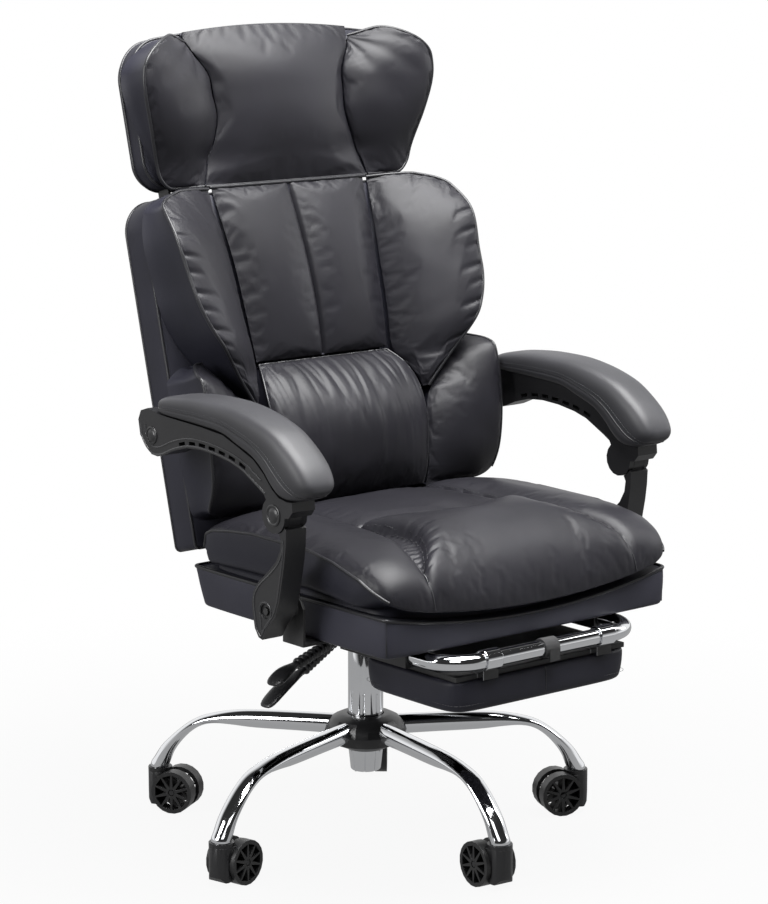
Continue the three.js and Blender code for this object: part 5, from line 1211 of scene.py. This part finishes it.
def footrest_pad_mesh():
    columns, rows, proud = 90, 60, 0.0011
    u, v = np.meshgrid(eased(columns), eased(rows))
    a, b = 2 * u - 1, 2 * v - 1
    belly = (1 - a ** 6) * (1 - b ** 6)
    x, y = plan_point(u, v, pad_half - 0.009, pad_front + 0.009, pad_rear - 0.009, 0.03, 0.026, 0.026)
    cloud = noise_field(np.dstack([x * 12, y * 12, x * 0]), 1.0, 21.0)
    low = np.dstack([x, y + swivel_y, pad_bottom + 0.004 - 0.004 * belly - 0.0012 * cloud * belly])
    low = blown_up("footrest_cushion", low, 0.01, (0, 0, -1))
    x, y = plan_point(u, v, pad_half - 0.003, pad_front + 0.003, pad_rear - 0.003, 0.03, 0.018, 0.018)
    high = np.dstack([x, y + swivel_y, np.full_like(x, pad_top - 0.0003)])
    puff = []
    for w in (0.01, 0.04, 0.09, 0.15, 0.22, 0.35, 0.5, 0.65, 0.8, 0.9, 0.95, 0.985):
        foot = 0.009 * (1 - math.sqrt(1 - max(0, 1 - w / 0.22) ** 2))
        lip = 0.003 * (1 - math.sqrt(1 - max(0, (w - 0.92) / 0.08) ** 2))
        puff.append((w, 0.009 * (1 - w) + 0.003 * w - foot - lip + 0.0022 * math.sin(math.pi * w) ** 0.8))
    made, _, _ = sewn_body("footrest_pad_cover", low, high, columns, rows, puff, [border_leather], 75)
    settle(made, "footrest_pad", "border_leather", "footrest_cushion")
    front = [(0, pad_front + swivel_y + 0.009 + (0.003 - 0.009) * w - push + 0.0003,
              pad_bottom + 0.004 + (pad_top - pad_bottom - 0.004) * w) for w, push in puff]
    welt("footrest_pad_seam", front, "footrest_pad", 0.0007)
    ways = np.array(rim_walk(columns, rows)) / [columns, rows]
    x, y = plan_point(ways[:, 0], ways[:, 1], pad_half + proud, pad_front - proud, pad_rear + proud, 0.03,
                      0.02, 0.02)
    path = np.column_stack([x, y + swivel_y, np.full(len(x), pad_bottom + 0.0145)])
    stitches("footrest_pad_stitches", [path], "footrest_pad")


footrest_pad_mesh()

webbing, nodes, links, shader = plain_finish("woven_webbing", (0.015, 0.015, 0.016), 0.75)
place = nodes.new("ShaderNodeTexCoord")
weave = nodes.new("ShaderNodeTexWave")
weave.bands_direction = "DIAGONAL"
weave.inputs["Scale"].default_value = 500
bump = nodes.new("ShaderNodeBump")
bump.inputs["Strength"].default_value = 0.6
bump.inputs["Distance"].default_value = 0.0004
links.new(place.outputs["Object"], weave.inputs["Vector"])
links.new(weave.outputs["Fac"], bump.inputs["Height"])
links.new(bump.outputs["Normal"], shader.inputs["Normal"])
band = smoothed_node("footrest_strap", "footrest_webbing_band", webbing, "footrest_pad", "webbing", 0.0004)
for point in band.data.vertices:
    point.co.x *= 0.6

# The studio: a pale floor that runs into a white background, soft lamps, and the photograph's camera.
# Close to the chair the floor keeps its shadow, and further out it is as white as the air.
paper, nodes, links, shader = plain_finish("studio_paper", (0.16, 0.16, 0.16), 0.9)
floor_mesh = bpy.data.meshes.new("studio_floor")
floor_mesh.from_pydata([(-30, -30, 0), (30, -30, 0), (30, 30, 0), (-30, 30, 0)], [], [(0, 1, 2, 3)])
floor_mesh.materials.append(paper)
floor = bpy.data.objects.new("studio_floor", floor_mesh)
scene.collection.objects.link(floor)


def seen_directly(nodes, links):
    """1 for rays that show the background itself: to the camera, in metal and through glass."""
    light_path = nodes.new("ShaderNodeLightPath")
    total = light_path.outputs["Is Camera Ray"]
    for kind in ("Is Glossy Ray", "Is Transmission Ray"):
        either = nodes.new("ShaderNodeMath")
        either.operation = "MAXIMUM"
        links.new(total, either.inputs[0])
        links.new(light_path.outputs[kind], either.inputs[1])
        total = either.outputs[0]
    return total


lit_paper = nodes.new("ShaderNodeEmission")
light_path = nodes.new("ShaderNodeLightPath")
dimmed = nodes.new("ShaderNodeMix")
dimmed.inputs["A"].default_value = 1
dimmed.inputs["B"].default_value = 0.4
links.new(light_path.outputs["Is Glossy Ray"], dimmed.inputs["Factor"])
links.new(dimmed.outputs["Result"], lit_paper.inputs["Strength"])
place = nodes.new("ShaderNodeTexCoord")
distance = nodes.new("ShaderNodeVectorMath")
distance.operation = "LENGTH"
whiter = nodes.new("ShaderNodeMapRange")
whiter.interpolation_type = "SMOOTHSTEP"
for socket, value in (("From Min", 0.45), ("From Max", 1.5), ("To Min", 0.93), ("To Max", 1.0)):
    whiter.inputs[socket].default_value = value
amount = nodes.new("ShaderNodeMath")
amount.operation = "MULTIPLY"
mixed = nodes.new("ShaderNodeMixShader")
links.new(place.outputs["Object"], distance.inputs[0])
links.new(distance.outputs["Value"], whiter.inputs["Value"])
links.new(whiter.outputs["Result"], amount.inputs[0])
links.new(seen_directly(nodes, links), amount.inputs[1])
links.new(amount.outputs[0], mixed.inputs["Fac"])
links.new(shader.outputs["BSDF"], mixed.inputs[1])
links.new(lit_paper.outputs["Emission"], mixed.inputs[2])
links.new(mixed.outputs["Shader"], nodes["Material Output"].inputs["Surface"])

world = bpy.data.worlds.new("studio_air")
scene.world = world
world.use_nodes = True
nodes, links = world.node_tree.nodes, world.node_tree.links
soft = nodes["Background"]
soft.inputs["Color"].default_value = (1, 1, 1, 1)
soft.inputs["Strength"].default_value = 0.1
white = nodes.new("ShaderNodeBackground")
white.inputs["Color"].default_value = (1, 1, 1, 1)
place = nodes.new("ShaderNodeTexCoord")
height = nodes.new("ShaderNodeVectorMath")
height.operation = "DOT_PRODUCT"
height.inputs[1].default_value = (-0.36, -0.48, 1)
ceiling = nodes.new("ShaderNodeMapRange")
for socket, value in (("From Min", 0.1), ("From Max", 0.45), ("To Min", 1.0), ("To Max", 0.03)):
    ceiling.inputs[socket].default_value = value
light_path = nodes.new("ShaderNodeLightPath")
reflected = nodes.new("ShaderNodeMix")
reflected.inputs["A"].default_value = 1
links.new(place.outputs["Generated"], height.inputs[0])
links.new(height.outputs["Value"], ceiling.inputs["Value"])
links.new(light_path.outputs["Is Glossy Ray"], reflected.inputs["Factor"])
links.new(ceiling.outputs["Result"], reflected.inputs["B"])
links.new(reflected.outputs["Result"], white.inputs["Strength"])
mixed = nodes.new("ShaderNodeMixShader")
links.new(seen_directly(nodes, links), mixed.inputs["Fac"])
links.new(soft.outputs["Background"], mixed.inputs[1])
links.new(white.outputs["Background"], mixed.inputs[2])
links.new(mixed.outputs["Shader"], nodes["World Output"].inputs["Surface"])


def soft_lamp(name, place, target, size, power):
    data = bpy.data.lights.new(name, "AREA")
    data.shape = "RECTANGLE"
    data.size, data.size_y = size
    data.energy = power
    lamp = bpy.data.objects.new(name, data)
    lamp.location = place
    lamp.rotation_euler = (Vector(target) - Vector(place)).to_track_quat("-Z", "Y").to_euler()
    scene.collection.objects.link(lamp)


soft_lamp("overhead_lamp", (0.1, -0.6, 3.1), (0, 0.1, 0.6), (2.6, 2.2), 360)
soft_lamp("key_lamp", (-1.9, -2.5, 2.5), (0, 0, 0.7), (1.5, 1.2), 14)
soft_lamp("side_lamp", (-3.0, 0.3, 1.6), (0, 0, 0.6), (1.2, 1.6), 75)
soft_lamp("edge_lamp", (2.5, -0.9, 1.9), (0, 0, 0.7), (0.7, 1.6), 20)

focal_pixels, picture_height, sensor_size = 3067.9, 904, 36
camera_distance, camera_height, camera_tilt, camera_pan = 4.22142, 1.34433, 0.186073, 0.0061758
camera_data = bpy.data.cameras.new("studio_camera")
camera_data.lens = focal_pixels / picture_height * sensor_size
camera_data.sensor_width = sensor_size
camera = bpy.data.objects.new("studio_camera", camera_data)
turn_angle = math.radians(-39.1111)
camera.location = (math.sin(turn_angle) * camera_distance, -math.cos(turn_angle) * camera_distance + swivel_y,
                   camera_height)
camera.rotation_euler = (math.pi / 2 - camera_tilt, 0, turn_angle - camera_pan)
scene.collection.objects.link(camera)
scene.camera = camera
scene.view_settings.view_transform = "Standard"
